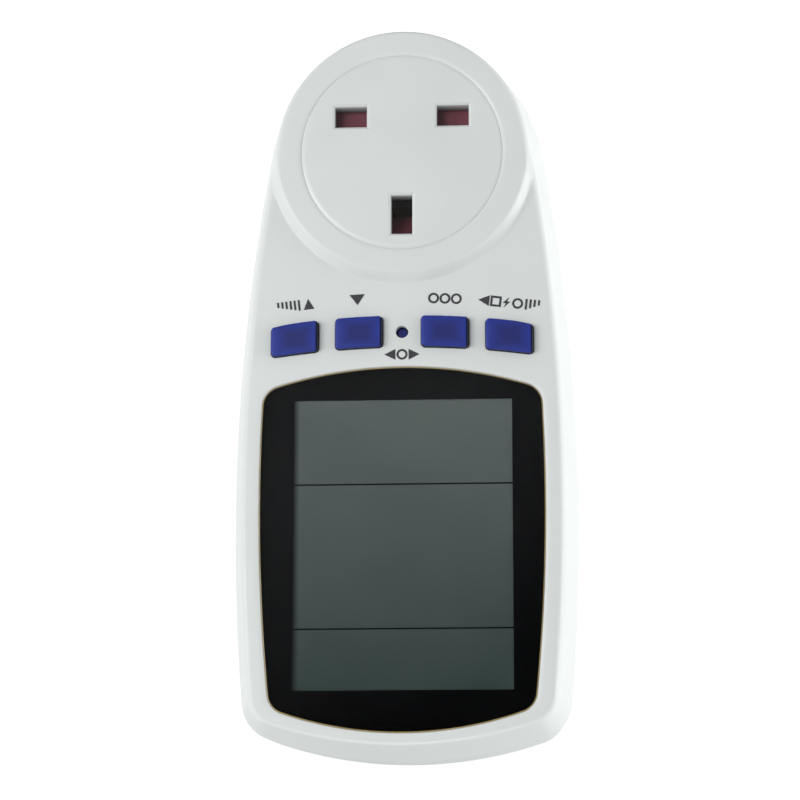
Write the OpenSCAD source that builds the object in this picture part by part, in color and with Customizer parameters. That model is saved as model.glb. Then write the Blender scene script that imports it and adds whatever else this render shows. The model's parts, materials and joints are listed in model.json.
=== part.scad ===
// Plug-in power meter with a three-pin socket on its front and the matching plug on its back.
// X is across, Z is up as it stands in a wall socket, -Y is the front that faces the user.
// The origin is on the axis of the round socket head, in the face that rests on the wall plate.
// All lengths are in millimetres.

/* [Case] */
// Half of the case's width where it is widest, at the seam
case_half_w = 37.35; // [37:0.05:37.6]
// Height of that widest place above the socket's axis
case_wide_z = 77; // [76:0.5:78]
// Radius of the rounded socket end, at the seam
head_r = 30.5; // [30.4:0.05:30.7]
// Height of the display end's top above the socket's axis
case_top_z = 130.45; // [130.3:0.05:131]
// Radius of the display end's arc
case_top_r = 92; // [90:1:110]
// Radius of the two corners at the display end
case_corner_r = 8.5; // [7.5:0.5:9]
// Wall thickness of both shells
wall = 2.2; // [2:0.1:2.3]
// Depth of the case's front face from the wall face
front_y = -40; // [-40:0.1:-39.9]
// Depth of the seam between the two shells
seam_y = -24; // [-24.5:0.5:-23.5]
// Depth of the case's flat back from the wall face
back_y = -3; // [-3.2:0.1:-2.8]
// How far the front wall leans in from the seam to the edge rounding
front_draft = 2.65; // [2.4:0.05:2.8]
// Radius of the rounding along the front edge
front_round = 1.5; // [1.2:0.1:1.6]
// How far the back wall leans in from the seam to the back
back_draft = 1.4; // [1:0.1:1.6]
// Radius of the rounding along the back edge
back_round = 2.5; // [2:0.1:2.6]
// Width of the small chamfer each shell has at the seam
seam_chamfer = 0.25; // [0.2:0.05:0.3]
// Share of the lean that the display end gets
end_lean = 0.7; // [0.6:0.05:0.8]
// Share of the lean by which the corners get sharper
corner_lean = 0.8; // [0.7:0.05:0.9]

/* [Socket head] */
// Depth of the raised head's face
head_y = -42; // [-42:0.1:-41.9]
// Radius of the raised head's wall
raised_r = 27.8; // [27.6:0.1:27.9]
// Radius of the raised head's top edge and of its foot
raised_edge_r = 1; // [0.8:0.1:1]
// Radius of the round socket insert
insert_r = 21.75; // [21.6:0.05:21.8]
// Gap round the insert
insert_gap = 0.15; // [0.1:0.05:0.2]
// Radius of the insert's flange behind the face
insert_flange_r = 22.9; // [22.7:0.1:22.9]
// Width of the live and neutral apertures
power_slot_w = 7; // [6.8:0.1:7.1]
// Height of the live and neutral apertures
power_slot_h = 4.6; // [4.4:0.1:4.7]
// Width of the earth aperture
earth_slot_w = 4.6; // [4.5:0.1:4.7]
// Height of the earth aperture
earth_slot_h = 8.6; // [8.5:0.1:8.7]
// Chamfer round each aperture
slot_chamfer = 0.5; // [0.3:0.1:0.6]

/* [Plug] */
// Distance between the live and neutral pins
pin_pitch = 22.23; // [22.2:0.01:22.26]
// Height of the earth pin above the live and neutral pins
earth_rise = 22.23; // [22.2:0.01:22.26]
// Height of the earth pin above the socket's axis
earth_z = 14.06; // [14:0.02:14.1]
// Width of the live and neutral pins
power_pin_w = 6.35; // [6.3:0.01:6.4]
// Thickness of every pin
pin_t = 3.97; // [3.92:0.01:4]
// Width of the earth pin, which stands upright
earth_pin_h = 7.94; // [7.9:0.01:8]
// Length of the live and neutral pins
power_pin_l = 17.7; // [17.5:0.1:18]
// Length of the earth pin
earth_pin_l = 22.7; // [22.5:0.1:23]
// Length of the insulating sleeves
sleeve_l = 9; // [8:0.5:9.5]
// Radius of the raised plug base
plug_base_r = 26.4; // [26:0.1:26.5]

/* [Display window] */
// Half of the window's width where it is widest
window_half_w = 30.5; // [30.3:0.1:30.6]
// Height of the window's widest place
window_wide_z = 76; // [75:0.5:77]
// Radius of the window's long sides
window_side_r = 412; // [400:5:430]
// Top of the window
window_top_z = 125.9; // [125.7:0.1:126]
// Radius of the window's top edge
window_top_r = 78; // [76:1:82]
// Bottom of the window, next to the keys
window_low_z = 47.5; // [47.4:0.1:47.8]
// Radius of the window's bottom edge
window_low_r = 91; // [88:1:96]
// Radius of the window's corners
window_corner_r = 4.5; // [4:0.5:5]
// Width of the bevel round the window
window_bevel = 0.9; // [0.7:0.1:1]
// Depth of the window's surface below the front face
lens_drop = 0.4; // [0.3:0.1:0.5]
// Thickness of the window
lens_t = 1.3; // [1.2:0.1:1.3]
// Half of the visible display's width
view_half_w = 23.3; // [23:0.1:23.5]
// Bottom of the visible display
view_low_z = 54.5; // [54:0.1:55]
// Top of the visible display
view_top_z = 116.8; // [116:0.1:117]

/* [Keys] */
// Inner side of the two inner keys
inner_key_x = 4.15; // [4.1:0.05:4.3]
// Inner side of the two outer keys
outer_key_x = 18; // [17.9:0.05:18.1]
// Width of each key
key_w = 10.2; // [10:0.1:10.3]
// Height of each key
key_h = 6.8; // [6.6:0.1:6.9]
// Bottom of the row of keys at the middle
key_low_z = 36.4; // [36.3:0.1:36.6]
// Radius of the arc the row of keys follows
key_row_r = 194; // [185:1:200]
// Corner radius of each key
key_corner_r = 1; // [0.8:0.1:1.2]
// How far the keys stand out of the case
key_proud = 1.3; // [1.2:0.1:1.5]
// Gap round each key
key_gap = 0.3; // [0.3:0.05:0.35]
// Travel of each key
key_travel = 1; // [0.8:0.1:1]
// Height of the reset key
reset_z = 39.8; // [39.7:0.1:39.9]
// Radius of the reset hole
reset_hole_r = 1.35; // [1.3:0.05:1.4]

/* [Shutter] */
// Travel of the safety shutter
shutter_travel = 6; // [5.8:0.1:6]

/* [Hidden] */

$fn = 96;
hair = 0.01;          // overshoot that keeps a cut open
slip = 0.1;           // gap between two fixed parts that fit into each other

power_z = earth_z - earth_rise;
live_x = pin_pitch / 2;
neutral_x = -live_x;

// Case outline: head circle, two long side arcs tangent to it, end arc, two corner arcs
side_r = (pow(case_half_w, 2) + pow(case_wide_z, 2) - pow(head_r, 2))
    / (2 * (case_half_w - head_r));
side_x = case_half_w - side_r;
head_meet_a = -atan2(case_wide_z, -side_x);
arc_steps = 24;
corner_steps = 8;

shell_in = front_y + 2;                 // inner face of the front wall
pad_in = front_y + 3.2;                 // inner face of the thicker rim round the display
lens_front = front_y + lens_drop;
lens_back = lens_front + lens_t;
mask_t = 0.2;
pocket_floor = lens_back + mask_t;
back_in = back_y - wall;

// Display stack, from the window inwards
glass_half_w = 24.5;
glass_low_z = 50.2;
glass_top_z = 121.2;
polariser_t = 0.25;
glass_t = 1.1;
ledge_w = 2.8;
reflector_t = 0.3;
polariser_y = pocket_floor + 0.05;
front_glass_y = polariser_y + polariser_t;
rear_glass_y = front_glass_y + glass_t;
reflector_y = rear_glass_y + glass_t;
frame_half_w = 25.1;
frame_y = pad_in + 0.1;

// Circuit boards
board_t = 1.6;
display_board_y = -33.2;
display_board_back = display_board_y + board_t;
power_board_y = -12.6;
power_board_back = power_board_y + board_t;

// Screws: [x, z] of each one
case_screws = [[27.9, 114], [-27.9, 114], [29.5, 62], [-29.5, 62], [0, -22.2]];
display_screws = [[28.3, 50.6], [-28.3, 50.6], [28.3, 98], [-28.3, 98]];
power_screws = [[20.5, 24], [-20.5, 24], [20.5, 58], [-20.5, 58]];
carrier_screws = [[15, 8], [-15, 8]];
boss_r = 2.6;
boss_bore_r = 1.35;
post_r = 2;
post_bore_r = 0.85;
well_r = 2.9;
well_floor_y = -15;

// Keys and switches
switch_half = 3;
switch_y = -35;
plunger_r = 1.7;
plunger_top = -36.2;
flange_y = shell_in + 0.3;
flange_t = 0.8;
flange_rim = 0.8;
outer_mid_x = outer_key_x + key_w / 2;
inner_mid_x = inner_key_x + key_w / 2;

// Socket head
insert_y = -39.4;                       // face of the flange behind the raised head
insert_back = -37.6;
shutter_y = -37.1;
shutter_t = 1.5;
shutter_back = shutter_y + shutter_t;
shutter_half_w = 6.5;
shutter_low_z = power_z - power_slot_h / 2 - 0.7;
shutter_top_z = 22;
spring_end_z = 32;
spring_r = 1.3;
spring_wire = 0.4;
spring_turns = 8;
spring_slices = 12;       // steps in each turn
spring_y = shutter_y + shutter_t / 2;

case_color = [0.83, 0.845, 0.84];
key_color = [0.20, 0.20, 0.55];
shutter_color = [0.45, 0.13, 0.17];
brass_color = [0.80, 0.65, 0.32];
board_color = [0.10, 0.35, 0.20];
steel_color = [0.60, 0.61, 0.63];
dark_color = [0.06, 0.06, 0.07];

// ---------- shared shapes ----------

// Turns a drawing in X and Z into a solid between two depths
module slab(front, back) {
    translate([0, back, 0])
        rotate([90, 0, 0])
            linear_extrude(back - front)
                children();
}

// Turns a drawing of radius and height into a solid of revolution standing towards the front
module turned(back) {
    translate([0, back, 0])
        rotate([90, 0, 0])
            rotate_extrude()
                children();
}

// Turns a drawing in Y and Z into a solid across X
module across(x_low, x_high) {
    translate([x_low, 0, 0])
        rotate([90, 0, 90])
            linear_extrude(x_high - x_low)
                children();
}

module rect(half_w, low, high) {
    translate([-half_w, low])
        square([2 * half_w, high - low]);
}

module rounded_rect(half_w, low, high, r) {
    rect(half_w - r, low, high);
    rect(half_w, low + r, high - r);
    for (x = [-half_w + r, half_w - r], z = [low + r, high - r])
        translate([x, z])
            circle(r);
}

module discs(places, r) {
    for (p = places)
        translate(p)
            circle(r);
}

function polar(centre, r, a) = centre + r * [cos(a), sin(a)];

// Points along an arc, without its last one, so that the next stretch can start there
function arc(centre, r, from, to, steps) =
    [for (i = [0:steps - 1]) polar(centre, r, from + (to - from) * i / steps)];

// The meeting point of two circles that lies on the left of the line from a to b
function meet(a, ra, b, rb) =
    let (d = norm(b - a),
         along = (ra * ra - rb * rb + d * d) / (2 * d),
         off = sqrt(ra * ra - along * along),
         dir = (b - a) / d)
    a + along * dir + off * [-dir[1], dir[0]];

function heading(from, to) = atan2(to[1] - from[1], to[0] - from[0]);

// Closes an outline that is drawn on its right side, from its lowest to its highest point
function mirrored(points) =
    concat(points, [for (i = [len(points) - 2:-1:1]) [-points[i][0], points[i][1]]]);

// Case outline, drawn smaller by lean
function case_outline(lean) =
    let (side_c = [side_x, case_wide_z],
         end_c = [0, case_top_z - case_top_r],
         end_r = case_top_r - lean * end_lean,
         corner = case_corner_r - lean * corner_lean,
         corner_c = meet(side_c, side_r - lean - corner, end_c, end_r - corner))
    mirrored(concat(
        arc([0, 0], head_r - lean, -90, head_meet_a, arc_steps),
        arc(side_c, side_r - lean, head_meet_a, heading(side_c, corner_c), arc_steps),
        arc(corner_c, corner, heading(side_c, corner_c), heading(end_c, corner_c), corner_steps),
        arc(end_c, end_r, heading(end_c, corner_c), 90, corner_steps),
        [[0, case_top_z - lean * end_lean]]));

// Window outline, drawn larger by grow
function window_outline(grow) =
    let (side_c = [window_half_w - window_side_r, window_wide_z],
         side = window_side_r + grow,
         top_c = [0, window_top_z - window_top_r],
         top = window_top_r + grow,
         low_c = [0, window_low_z + window_low_r],
         low = window_low_r + grow,
         corner = window_corner_r + grow,
         up_c = meet(side_c, side - corner, top_c, top - corner),
         down_c = meet(low_c, low - corner, side_c, side - corner))
    mirrored(concat(
        arc(low_c, low, -90, heading(low_c, down_c), corner_steps),
        arc(down_c, corner, heading(low_c, down_c), heading(side_c, down_c), corner_steps),
        arc(side_c, side, heading(side_c, down_c), heading(side_c, up_c), arc_steps),
        arc(up_c, corner, heading(side_c, up_c), heading(top_c, up_c), corner_steps),
        arc(top_c, top, heading(top_c, up_c), 90, corner_steps),
        [[0, window_top_z + grow]]));

// Thin sheet of the case outline, used as one layer of a hull
module case_layer(y, lean) {
    slab(y, y + hair)
        polygon(case_outline(lean));
}

// Bottom edge of the row of keys
function key_bottom(x) = key_low_z + x * x / (2 * key_row_r);

// Outline of a key on the right side, drawn larger by grow
function key_outline(x_low, grow) =
    let (r = key_corner_r + grow,
         left = x_low - grow + r,
         right = x_low + key_w + grow - r)
    concat(
        arc([left, key_bottom(left) - grow + r], r, 180, 270, corner_steps),
        arc([right, key_bottom(right) - grow + r], r, 270, 360, corner_steps),
        arc([right, key_bottom(right) + key_h + grow - r], r, 0, 90, corner_steps),
        arc([left, key_bottom(left) + key_h + grow - r], r, 90, 180, corner_steps));

// Places something on the right side of the case and again on the left
module both_sides() {
    children();
    mirror([1, 0, 0])
        children();
}

// ---------- case ----------

// Front shell's outside, without the raised head
module front_skin() {
    hull() {
        case_layer(seam_y - hair, seam_chamfer);
        case_layer(seam_y - seam_chamfer, 0);
        for (a = [0:22.5:90])
            case_layer(front_y + front_round * (1 - sin(a)),
                front_draft + front_round * (1 - cos(a)));
    }
}

// Raised head with a rounded top edge and a soft foot where it meets the front face
module raised_head() {
    rise = front_y - head_y;
    turned(front_y + 2)
        difference() {
            union() {
                square([raised_r, 2 + rise - raised_edge_r]);
                square([raised_r - raised_edge_r, 2 + rise]);
                translate([raised_r - raised_edge_r, 2 + rise - raised_edge_r])
                    circle(raised_edge_r);
            }
            translate([-2 * raised_r, 0])
                square([2 * raised_r, 2 * raised_r]);
        }
    intersection() {
        turned(front_y + hair)
            difference() {
                square([raised_r + raised_edge_r, raised_edge_r + hair]);
                translate([raised_r + raised_edge_r, raised_edge_r + hair])
                    circle(raised_edge_r);
            }
        slab(head_y, front_y + hair)
            polygon(case_outline(front_draft + front_round));
    }
}

// Hollow inside both shells, from one depth to another
module front_hollow() {
    hull() {
        case_layer(seam_y, wall);
        case_layer(shell_in, front_draft + wall);
    }
}

module housing_bosses(front, back) {
    slab(front, back)
        discs(case_screws, boss_r);
}

module front_housing() {
    color(case_color)
    difference() {
        union() {
            difference() {
                union() {
                    front_skin();
                    raised_head();
                }
                front_hollow();
            }
            // Thicker rim that the display's glass sits in
            intersection() {
                front_skin();
                slab(shell_in - hair, pad_in)
                    polygon(window_outline(window_bevel));
            }
            // Screw bosses, held by the walls they stand against
            intersection() {
                front_skin();
                housing_bosses(shell_in - hair, seam_y - slip);
            }
            // Posts that carry the display board
            slab(shell_in - hair, display_board_y)
                discs(display_screws, post_r);
            // Seat for the far end of the shutter's spring
            slab(shell_in - hair, shutter_back + 1)
                rect(2.5, spring_end_z, spring_end_z + 1.6);
        }
        // Bevel and pocket for the window
        hull() {
            slab(front_y - hair, front_y)
                polygon(window_outline(window_bevel));
            slab(lens_front, lens_front + hair)
                polygon(window_outline(slip));
        }
        slab(lens_front, pocket_floor)
            polygon(window_outline(slip));
        slab(pocket_floor - hair, pad_in + hair)
            rect(glass_half_w + slip, glass_low_z - slip, glass_top_z + slip);
        // Openings for the keys and the reset key
        both_sides()
            for (x = [inner_key_x, outer_key_x])
                slab(front_y - hair, shell_in + hair)
                    polygon(key_outline(x, key_gap));
        slab(front_y - hair, shell_in + hair)
            translate([0, reset_z])
                circle(reset_hole_r);
        // Seat for the socket insert
        slab(head_y - hair, shell_in)
            circle(insert_r + insert_gap);
        slab(insert_y, insert_back + slip)
            circle(insert_flange_r + insert_gap);
        // Screw holes
        slab(shell_in + 1, seam_y)
            discs(case_screws, boss_bore_r);
        slab(pad_in + 0.5, display_board_y + hair)
            discs(display_screws, post_bore_r);
    }
}

// Pin boss inside the back shell
module pin_seat(x, z, half_w, half_h) {
    slab(back_in - 4.5, back_in + hair)
        translate([x, z])
            rect(half_w + 2, -half_h - 2, half_h + 2);
}

module pin_hole(x, z, half_w, half_h) {
    slab(back_in - 5, hair)
        translate([x, z])
            rect(half_w + slip / 2, -half_h - slip / 2, half_h + slip / 2);
}

// Raised base round the pins, with a rounded edge
module plug_base() {
    edge = 1;
    height = wall / 2 - back_y;
    turned(0) {
        square([plug_base_r - edge, height]);
        translate([0, edge])
            square([plug_base_r, height - edge]);
        translate([plug_base_r - edge, edge])
            circle(edge);
    }
}

module rear_housing() {
    color(case_color)
    difference() {
        union() {
            difference() {
                hull() {
                    case_layer(seam_y, seam_chamfer);
                    case_layer(seam_y + seam_chamfer, 0);
                    for (a = [0:22.5:90])
                        case_layer(back_y - back_round * (1 - sin(a)) - hair,
                            back_draft + back_round * (1 - cos(a)));
                }
                hull() {
                    case_layer(seam_y - hair, wall);
                    case_layer(back_in - 1.5, back_draft + wall);
                    case_layer(back_in - hair, back_draft + wall + 1.5);
                }
            }
            plug_base();
            pin_seat(live_x, power_z, power_pin_w / 2, pin_t / 2);
            pin_seat(neutral_x, power_z, power_pin_w / 2, pin_t / 2);
            pin_seat(0, earth_z, pin_t / 2, earth_pin_h / 2);
            // Screw towers and the posts that carry the power board
            intersection() {
                slab(seam_y + slip, back_in + hair)
                    discs(case_screws, well_r + 1.4);
                hull() {
                    case_layer(seam_y + slip, wall / 2);
                    case_layer(back_in, back_draft + wall);
                }
            }
            slab(power_board_back, back_in + hair)
                discs(concat(power_screws, carrier_screws), post_r);
        }
        pin_hole(live_x, power_z, power_pin_w / 2, pin_t / 2);
        pin_hole(neutral_x, power_z, power_pin_w / 2, pin_t / 2);
        pin_hole(0, earth_z, pin_t / 2, earth_pin_h / 2);
        slab(well_floor_y, 1)
            discs(case_screws, well_r);
        slab(seam_y, well_floor_y + hair)
            discs(case_screws, boss_bore_r + 0.25);
        slab(power_board_back - hair, back_in - 1)
            discs(concat(power_screws, carrier_screws), post_bore_r);
    }
}

// ---------- socket ----------

// Aperture with a chamfer round its mouth
module aperture(x, z, w, h) {
    slab(head_y - hair, insert_back + hair)
        translate([x, z])
            rect(w / 2, -h / 2, h / 2);
    hull() {
        slab(head_y - hair, head_y)
            translate([x, z])
                rect(w / 2 + slot_chamfer, -h / 2 - slot_chamfer, h / 2 + slot_chamfer);
        slab(head_y + slot_chamfer, head_y + slot_chamfer + hair)
            translate([x, z])
                rect(w / 2, -h / 2, h / 2);
    }
}

module socket_insert() {
    rail_x = shutter_half_w + key_gap;
    rail_end = shutter_back + 1.3;
    color(case_color)
    difference() {
        union() {
            slab(head_y, insert_back)
                circle(insert_r);
            slab(insert_y, insert_back)
                circle(insert_flange_r);
            // Rails that guide the shutter, with lips that keep it in
            both_sides() {
                slab(insert_back - hair, rail_end)
                    translate([rail_x, 2])
                        square([1.5, 17]);
                slab(shutter_back + 0.3, rail_end)
                    translate([rail_x - 1, 2])
                        square([2.5, 17]);
            }
        }
        aperture(live_x, power_z, power_slot_w, power_slot_h);
        aperture(neutral_x, power_z, power_slot_w, power_slot_h);
        aperture(0, earth_z, earth_slot_w, earth_slot_h);
    }
}

// Sliding safety shutter: two wings behind the live and neutral apertures, and a ramp that
// the earth pin pushes aside
module shutter() {
    wing_top = power_z + power_slot_h / 2 + 0.7;
    earth_top = earth_z + earth_slot_h / 2;
    toe = earth_top - shutter_travel;
    ramp_back = shutter_back + 2.4;
    window_low = earth_z - earth_slot_h / 2 - shutter_travel - 0.2;
    color(shutter_color) {
        difference() {
            slab(shutter_y, shutter_back) {
                rect(live_x + power_slot_w / 2 + 0.9, shutter_low_z, wing_top);
                rect(shutter_half_w, wing_top - hair, shutter_top_z);
            }
            slab(shutter_y - hair, shutter_back + hair)
                rect(earth_slot_w / 2 + 0.2, window_low, earth_top + 0.2);
        }
        across(-earth_slot_w / 2 - 0.2, earth_slot_w / 2 + 0.2)
            polygon([
                [shutter_y, earth_top + 0.2],
                [shutter_y, earth_top - 0.6],
                [ramp_back, toe],
                [ramp_back, earth_top + 2],
                [shutter_back, earth_top + 2],
                [shutter_back, earth_top + 0.2]]);
        // Peg that the spring sits on
        translate([0, spring_y, shutter_top_z - hair])
            cylinder(r = spring_r - spring_wire, h = 1.6);
    }
}

// Coil whose wire has a round section when cut through the spring's axis
module shutter_spring() {
    length = spring_end_z - shutter_top_z;
    rise = length - spring_wire;
    half_a = 360 * spring_turns * spring_wire / 2 / rise;
    points = 4;
    color(steel_color)
    translate([0, spring_y, shutter_top_z + spring_wire / 2])
        linear_extrude(rise, twist = -360 * spring_turns, slices = spring_slices * spring_turns,
                $fn = 4 * points)
            polygon(concat(
                [for (i = [-points:points])
                    polar([0, 0], spring_r + spring_wire / 2 * sqrt(1 - pow(i / points, 2)),
                        half_a * i / points)],
                [for (i = [points - 1:-1:1 - points])
                    polar([0, 0], spring_r - spring_wire / 2 * sqrt(1 - pow(i / points, 2)),
                        half_a * i / points)]));
}

// ---------- display window and display ----------

module display_lens() {
    color([0.1, 0.1, 0.12, 0.4])
    slab(lens_front, lens_back)
        polygon(window_outline(0));
}

module lens_mask() {
    color(dark_color)
    difference() {
        slab(lens_back, pocket_floor)
            polygon(window_outline(0));
        slab(lens_back - hair, pocket_floor + hair)
            rect(view_half_w, view_low_z, view_top_z);
    }
}

module lcd_polariser() {
    color([0.35, 0.42, 0.40])
    slab(polariser_y, front_glass_y)
        rect(glass_half_w - 0.5, glass_low_z + ledge_w, glass_top_z - 0.5);
}

module lcd_front_glass() {
    color([0.45, 0.52, 0.50, 0.6])
    slab(front_glass_y, rear_glass_y)
        rect(glass_half_w, glass_low_z, glass_top_z);
}

module lcd_rear_glass() {
    color([0.40, 0.48, 0.46, 0.6])
    slab(rear_glass_y, reflector_y)
        rect(glass_half_w, glass_low_z + ledge_w, glass_top_z);
}

module lcd_reflector() {
    color([0.55, 0.60, 0.56])
    slab(reflector_y, reflector_y + reflector_t)
        rect(glass_half_w - 0.5, glass_low_z + ledge_w + 0.5, glass_top_z - 0.5);
}

module lcd_frame() {
    foot = reflector_y + reflector_t;
    color([0.88, 0.89, 0.88])
    difference() {
        slab(frame_y, display_board_y)
            rect(frame_half_w, glass_low_z - 1.2, glass_top_z + 1.2);
        slab(frame_y - hair, foot)
            rect(glass_half_w + slip, glass_low_z - slip, glass_top_z + slip);
        // Slot for the contact strip
        slab(foot - hair, display_board_y + hair)
            rect(22.2, glass_low_z + 0.3, glass_low_z + 2.5);
        // Open middle
        slab(foot - hair, display_board_y + hair)
            rect(glass_half_w - 2, glass_low_z + 6, glass_top_z - 3);
    }
}

module zebra_strip() {
    color([0.75, 0.45, 0.50])
    slab(rear_glass_y, display_board_y)
        rect(22, glass_low_z + 0.4, glass_low_z + 2.4);
}

module display_pcb() {
    color(board_color)
    slab(display_board_y, display_board_back)
        difference() {
            rounded_rect(30, 33.6, 122.8, 5);
            discs(case_screws, boss_r + 0.4);
            discs(display_screws, post_bore_r + 0.2);
        }
}

module controller_blob() {
    color(dark_color)
    intersection() {
        translate([0, display_board_back - 6, 78])
            sphere(r = 9.6);
        slab(display_board_back, display_board_back + 4)
            translate([0, 78])
                circle(8);
    }
}

module crystal() {
    color(steel_color)
    slab(display_board_back, display_board_back + 3.4)
        translate([14, 0])
            rounded_rect(2, 60, 70, 1.9);
}

module backup_battery() {
    color([0.20, 0.42, 0.30])
    translate([-9, display_board_back + 5.8, 102])
        rotate([0, 90, 0])
            cylinder(r = 5.8, h = 18);
}

// ---------- keys ----------

// Round post on the back of a key
module key_post(x, z, r) {
    slab(flange_y + flange_t - hair, plunger_top)
        translate([x, z])
            circle(r);
}

module key_layer(y, x_low, grow) {
    slab(y, y + hair)
        polygon(key_outline(x_low, grow));
}

// Key on the right side: cap with a rounded edge, flange behind the opening, and post
module key_body(x_low) {
    edge = 0.5;
    top = front_y - key_proud;
    mid_x = x_low + key_w / 2;
    hull() {
        key_layer(flange_y, x_low, 0);
        for (a = [0:30:90])
            key_layer(top + edge * (1 - sin(a)), x_low, edge * (cos(a) - 1));
    }
    slab(flange_y, flange_y + flange_t)
        polygon(key_outline(x_low, flange_rim));
    key_post(mid_x, key_bottom(mid_x) + key_h / 2, 1.6);
}

module key_down() {
    color(key_color)
        key_body(outer_key_x);
}

module key_up() {
    color(key_color)
        key_body(inner_key_x);
}

module key_cost() {
    color(key_color)
        mirror([1, 0, 0])
            key_body(inner_key_x);
}

module key_function() {
    color(key_color)
        mirror([1, 0, 0])
            key_body(outer_key_x);
}

module reset_key() {
    color(key_color) {
        slab(front_y + 1.4, flange_y + hair)
            translate([0, reset_z])
                circle(reset_hole_r - key_gap);
        slab(flange_y, flange_y + flange_t)
            translate([0, reset_z])
                circle(2.2);
        key_post(0, reset_z, 1.4);
    }
}

outer_switch = [outer_mid_x, key_bottom(outer_mid_x) + key_h / 2];
inner_switch = [inner_mid_x, key_bottom(inner_mid_x) + key_h / 2];

module switch_body(place) {
    difference() {
        slab(switch_y, display_board_y)
            translate(place)
                rect(switch_half, -switch_half, switch_half);
        slab(switch_y - hair, display_board_y - 0.2)
            translate(place)
                circle(plunger_r + 0.3);
    }
}

module switch_bodies() {
    color(dark_color) {
        both_sides() {
            switch_body(outer_switch);
            switch_body(inner_switch);
        }
        switch_body([0, reset_z]);
    }
}

module plunger(place) {
    color([0.78, 0.72, 0.60])
    slab(plunger_top, display_board_y - key_travel - 0.4)
        translate(place)
            circle(plunger_r);
}

module plunger_down() {
    plunger(outer_switch);
}

module plunger_up() {
    plunger(inner_switch);
}

module plunger_cost() {
    mirror([1, 0, 0])
        plunger(inner_switch);
}

module plunger_function() {
    mirror([1, 0, 0])
        plunger(outer_switch);
}

module plunger_reset() {
    plunger([0, reset_z]);
}

// ---------- signs printed next to the keys ----------

sign_h = 2.35;        // height of every sign
sign_line = 0.45;     // width of its lines
sign_drop = 4.05;     // from the bottom of a key to the middle of its sign
sign_pitch = 2 * sign_line;
ink_t = 0.06;

// Solid triangle that points up, or another way when turned
module arrow_sign(turn, half_w) {
    rotate([0, 0, turn])
        polygon([[-half_w, -sign_h / 2], [half_w, -sign_h / 2], [0, sign_h / 2]]);
}

module ring_sign() {
    difference() {
        circle(sign_h / 2);
        circle(sign_h / 2 - sign_line);
    }
}

module frame_sign() {
    difference() {
        square(sign_h, center = true);
        square(sign_h - 2 * sign_line, center = true);
    }
}

// Bars side by side, from the shortest, half as tall, to the tallest
module bars_sign(count) {
    for (i = [1:count])
        translate([(i - (count + 1) / 2) * sign_pitch - sign_line / 2, -sign_h / 2])
            square([sign_line, sign_h * (1 + (i - 1) / (count - 1)) / 2]);
}

// Zigzag of a lightning bolt
module bolt_sign() {
    polygon([
        [0.5, 1.2], [-0.8, -0.2], [-0.1, -0.2],
        [-0.5, -1.2], [0.8, 0.2], [0.1, 0.2]]);
}

// Places a sign below the key row at x, tilted as the row is there
module below_row(x) {
    translate([x, key_bottom(x) - sign_drop])
        rotate([0, 0, atan(x / key_row_r)])
            children();
}

// Down: arrow and falling bars. Up: arrow. Cost: coins. Function: a row of modes. Reset: a ring
// between two arrows
module key_marks() {
    color([0.2, 0.2, 0.2])
    slab(front_y - ink_t, front_y) {
        below_row(outer_mid_x) {
            translate([-2.9, 0])
                arrow_sign(180, sign_h / 2);
            translate([1.4, 0])
                mirror([1, 0])
                    bars_sign(6);
        }
        below_row(inner_mid_x + 0.4)
            arrow_sign(0, 0.7 * sign_h);
        below_row(-inner_mid_x)
            for (i = [-1:1])
                translate([i * (sign_h + 0.1), 0])
                    ring_sign();
        below_row(-outer_mid_x) {
            translate([-5, 0])
                bars_sign(4);
            translate([-1.8, 0])
                ring_sign();
            translate([0.6, 0])
                bolt_sign();
            translate([2.9, 0])
                frame_sign();
            translate([5.5, 0])
                arrow_sign(-90, sign_h / 2);
        }
        translate([0, reset_z + 5]) {
            ring_sign();
            for (side = [-1, 1])
                translate([side * 2.6, 0])
                    arrow_sign(-side * 90, sign_h / 2);
        }
    }
}

// ---------- power board and what stands on it ----------

module power_pcb() {
    color(board_color)
    slab(power_board_y, power_board_back)
        difference() {
            union() {
                intersection() {
                    circle(25.4);
                    rect(25.4, -22, 20);
                }
                rounded_rect(24.5, 4, 64, 3);
            }
            discs(case_screws, well_r + 1.8);
            discs(concat(power_screws, carrier_screws), post_bore_r + 0.2);
            for (x = [live_x, neutral_x])
                translate([x, power_z])
                    rect(1.7, -0.9, 0.9);
            translate([0, earth_z])
                rect(0.9, -2.7, 2.7);
        }
}

// Half ring of resistance strip that stands on the board
module shunt() {
    ring_r = 5;
    strip_t = 0.8;
    color([0.62, 0.60, 0.56])
    translate([20.8, power_board_y - 3, 2])
        across(-1, 1)
            difference() {
                circle(ring_r);
                circle(ring_r - strip_t);
                translate([3, -2 * ring_r])
                    square(4 * ring_r);
            }
}

module dropper_capacitor() {
    color([0.75, 0.62, 0.20])
    slab(power_board_y - 10, power_board_y)
        translate([-12, 0])
            rounded_rect(4.5, 34, 52, 0.8);
}

module smoothing_capacitor() {
    color([0.12, 0.16, 0.30])
    slab(power_board_y - 11, power_board_y)
        translate([10, 50])
            circle(4);
}

module varistor() {
    color([0.15, 0.30, 0.55])
    translate([2, power_board_y - 5, 33])
        rotate([0, 90, 0])
            cylinder(r = 5, h = 3.2);
}

module rectifier() {
    color(dark_color)
    slab(power_board_y - 2.4, power_board_y)
        translate([11.5, 0])
            rect(3, 33.5, 38.5);
}

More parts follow.
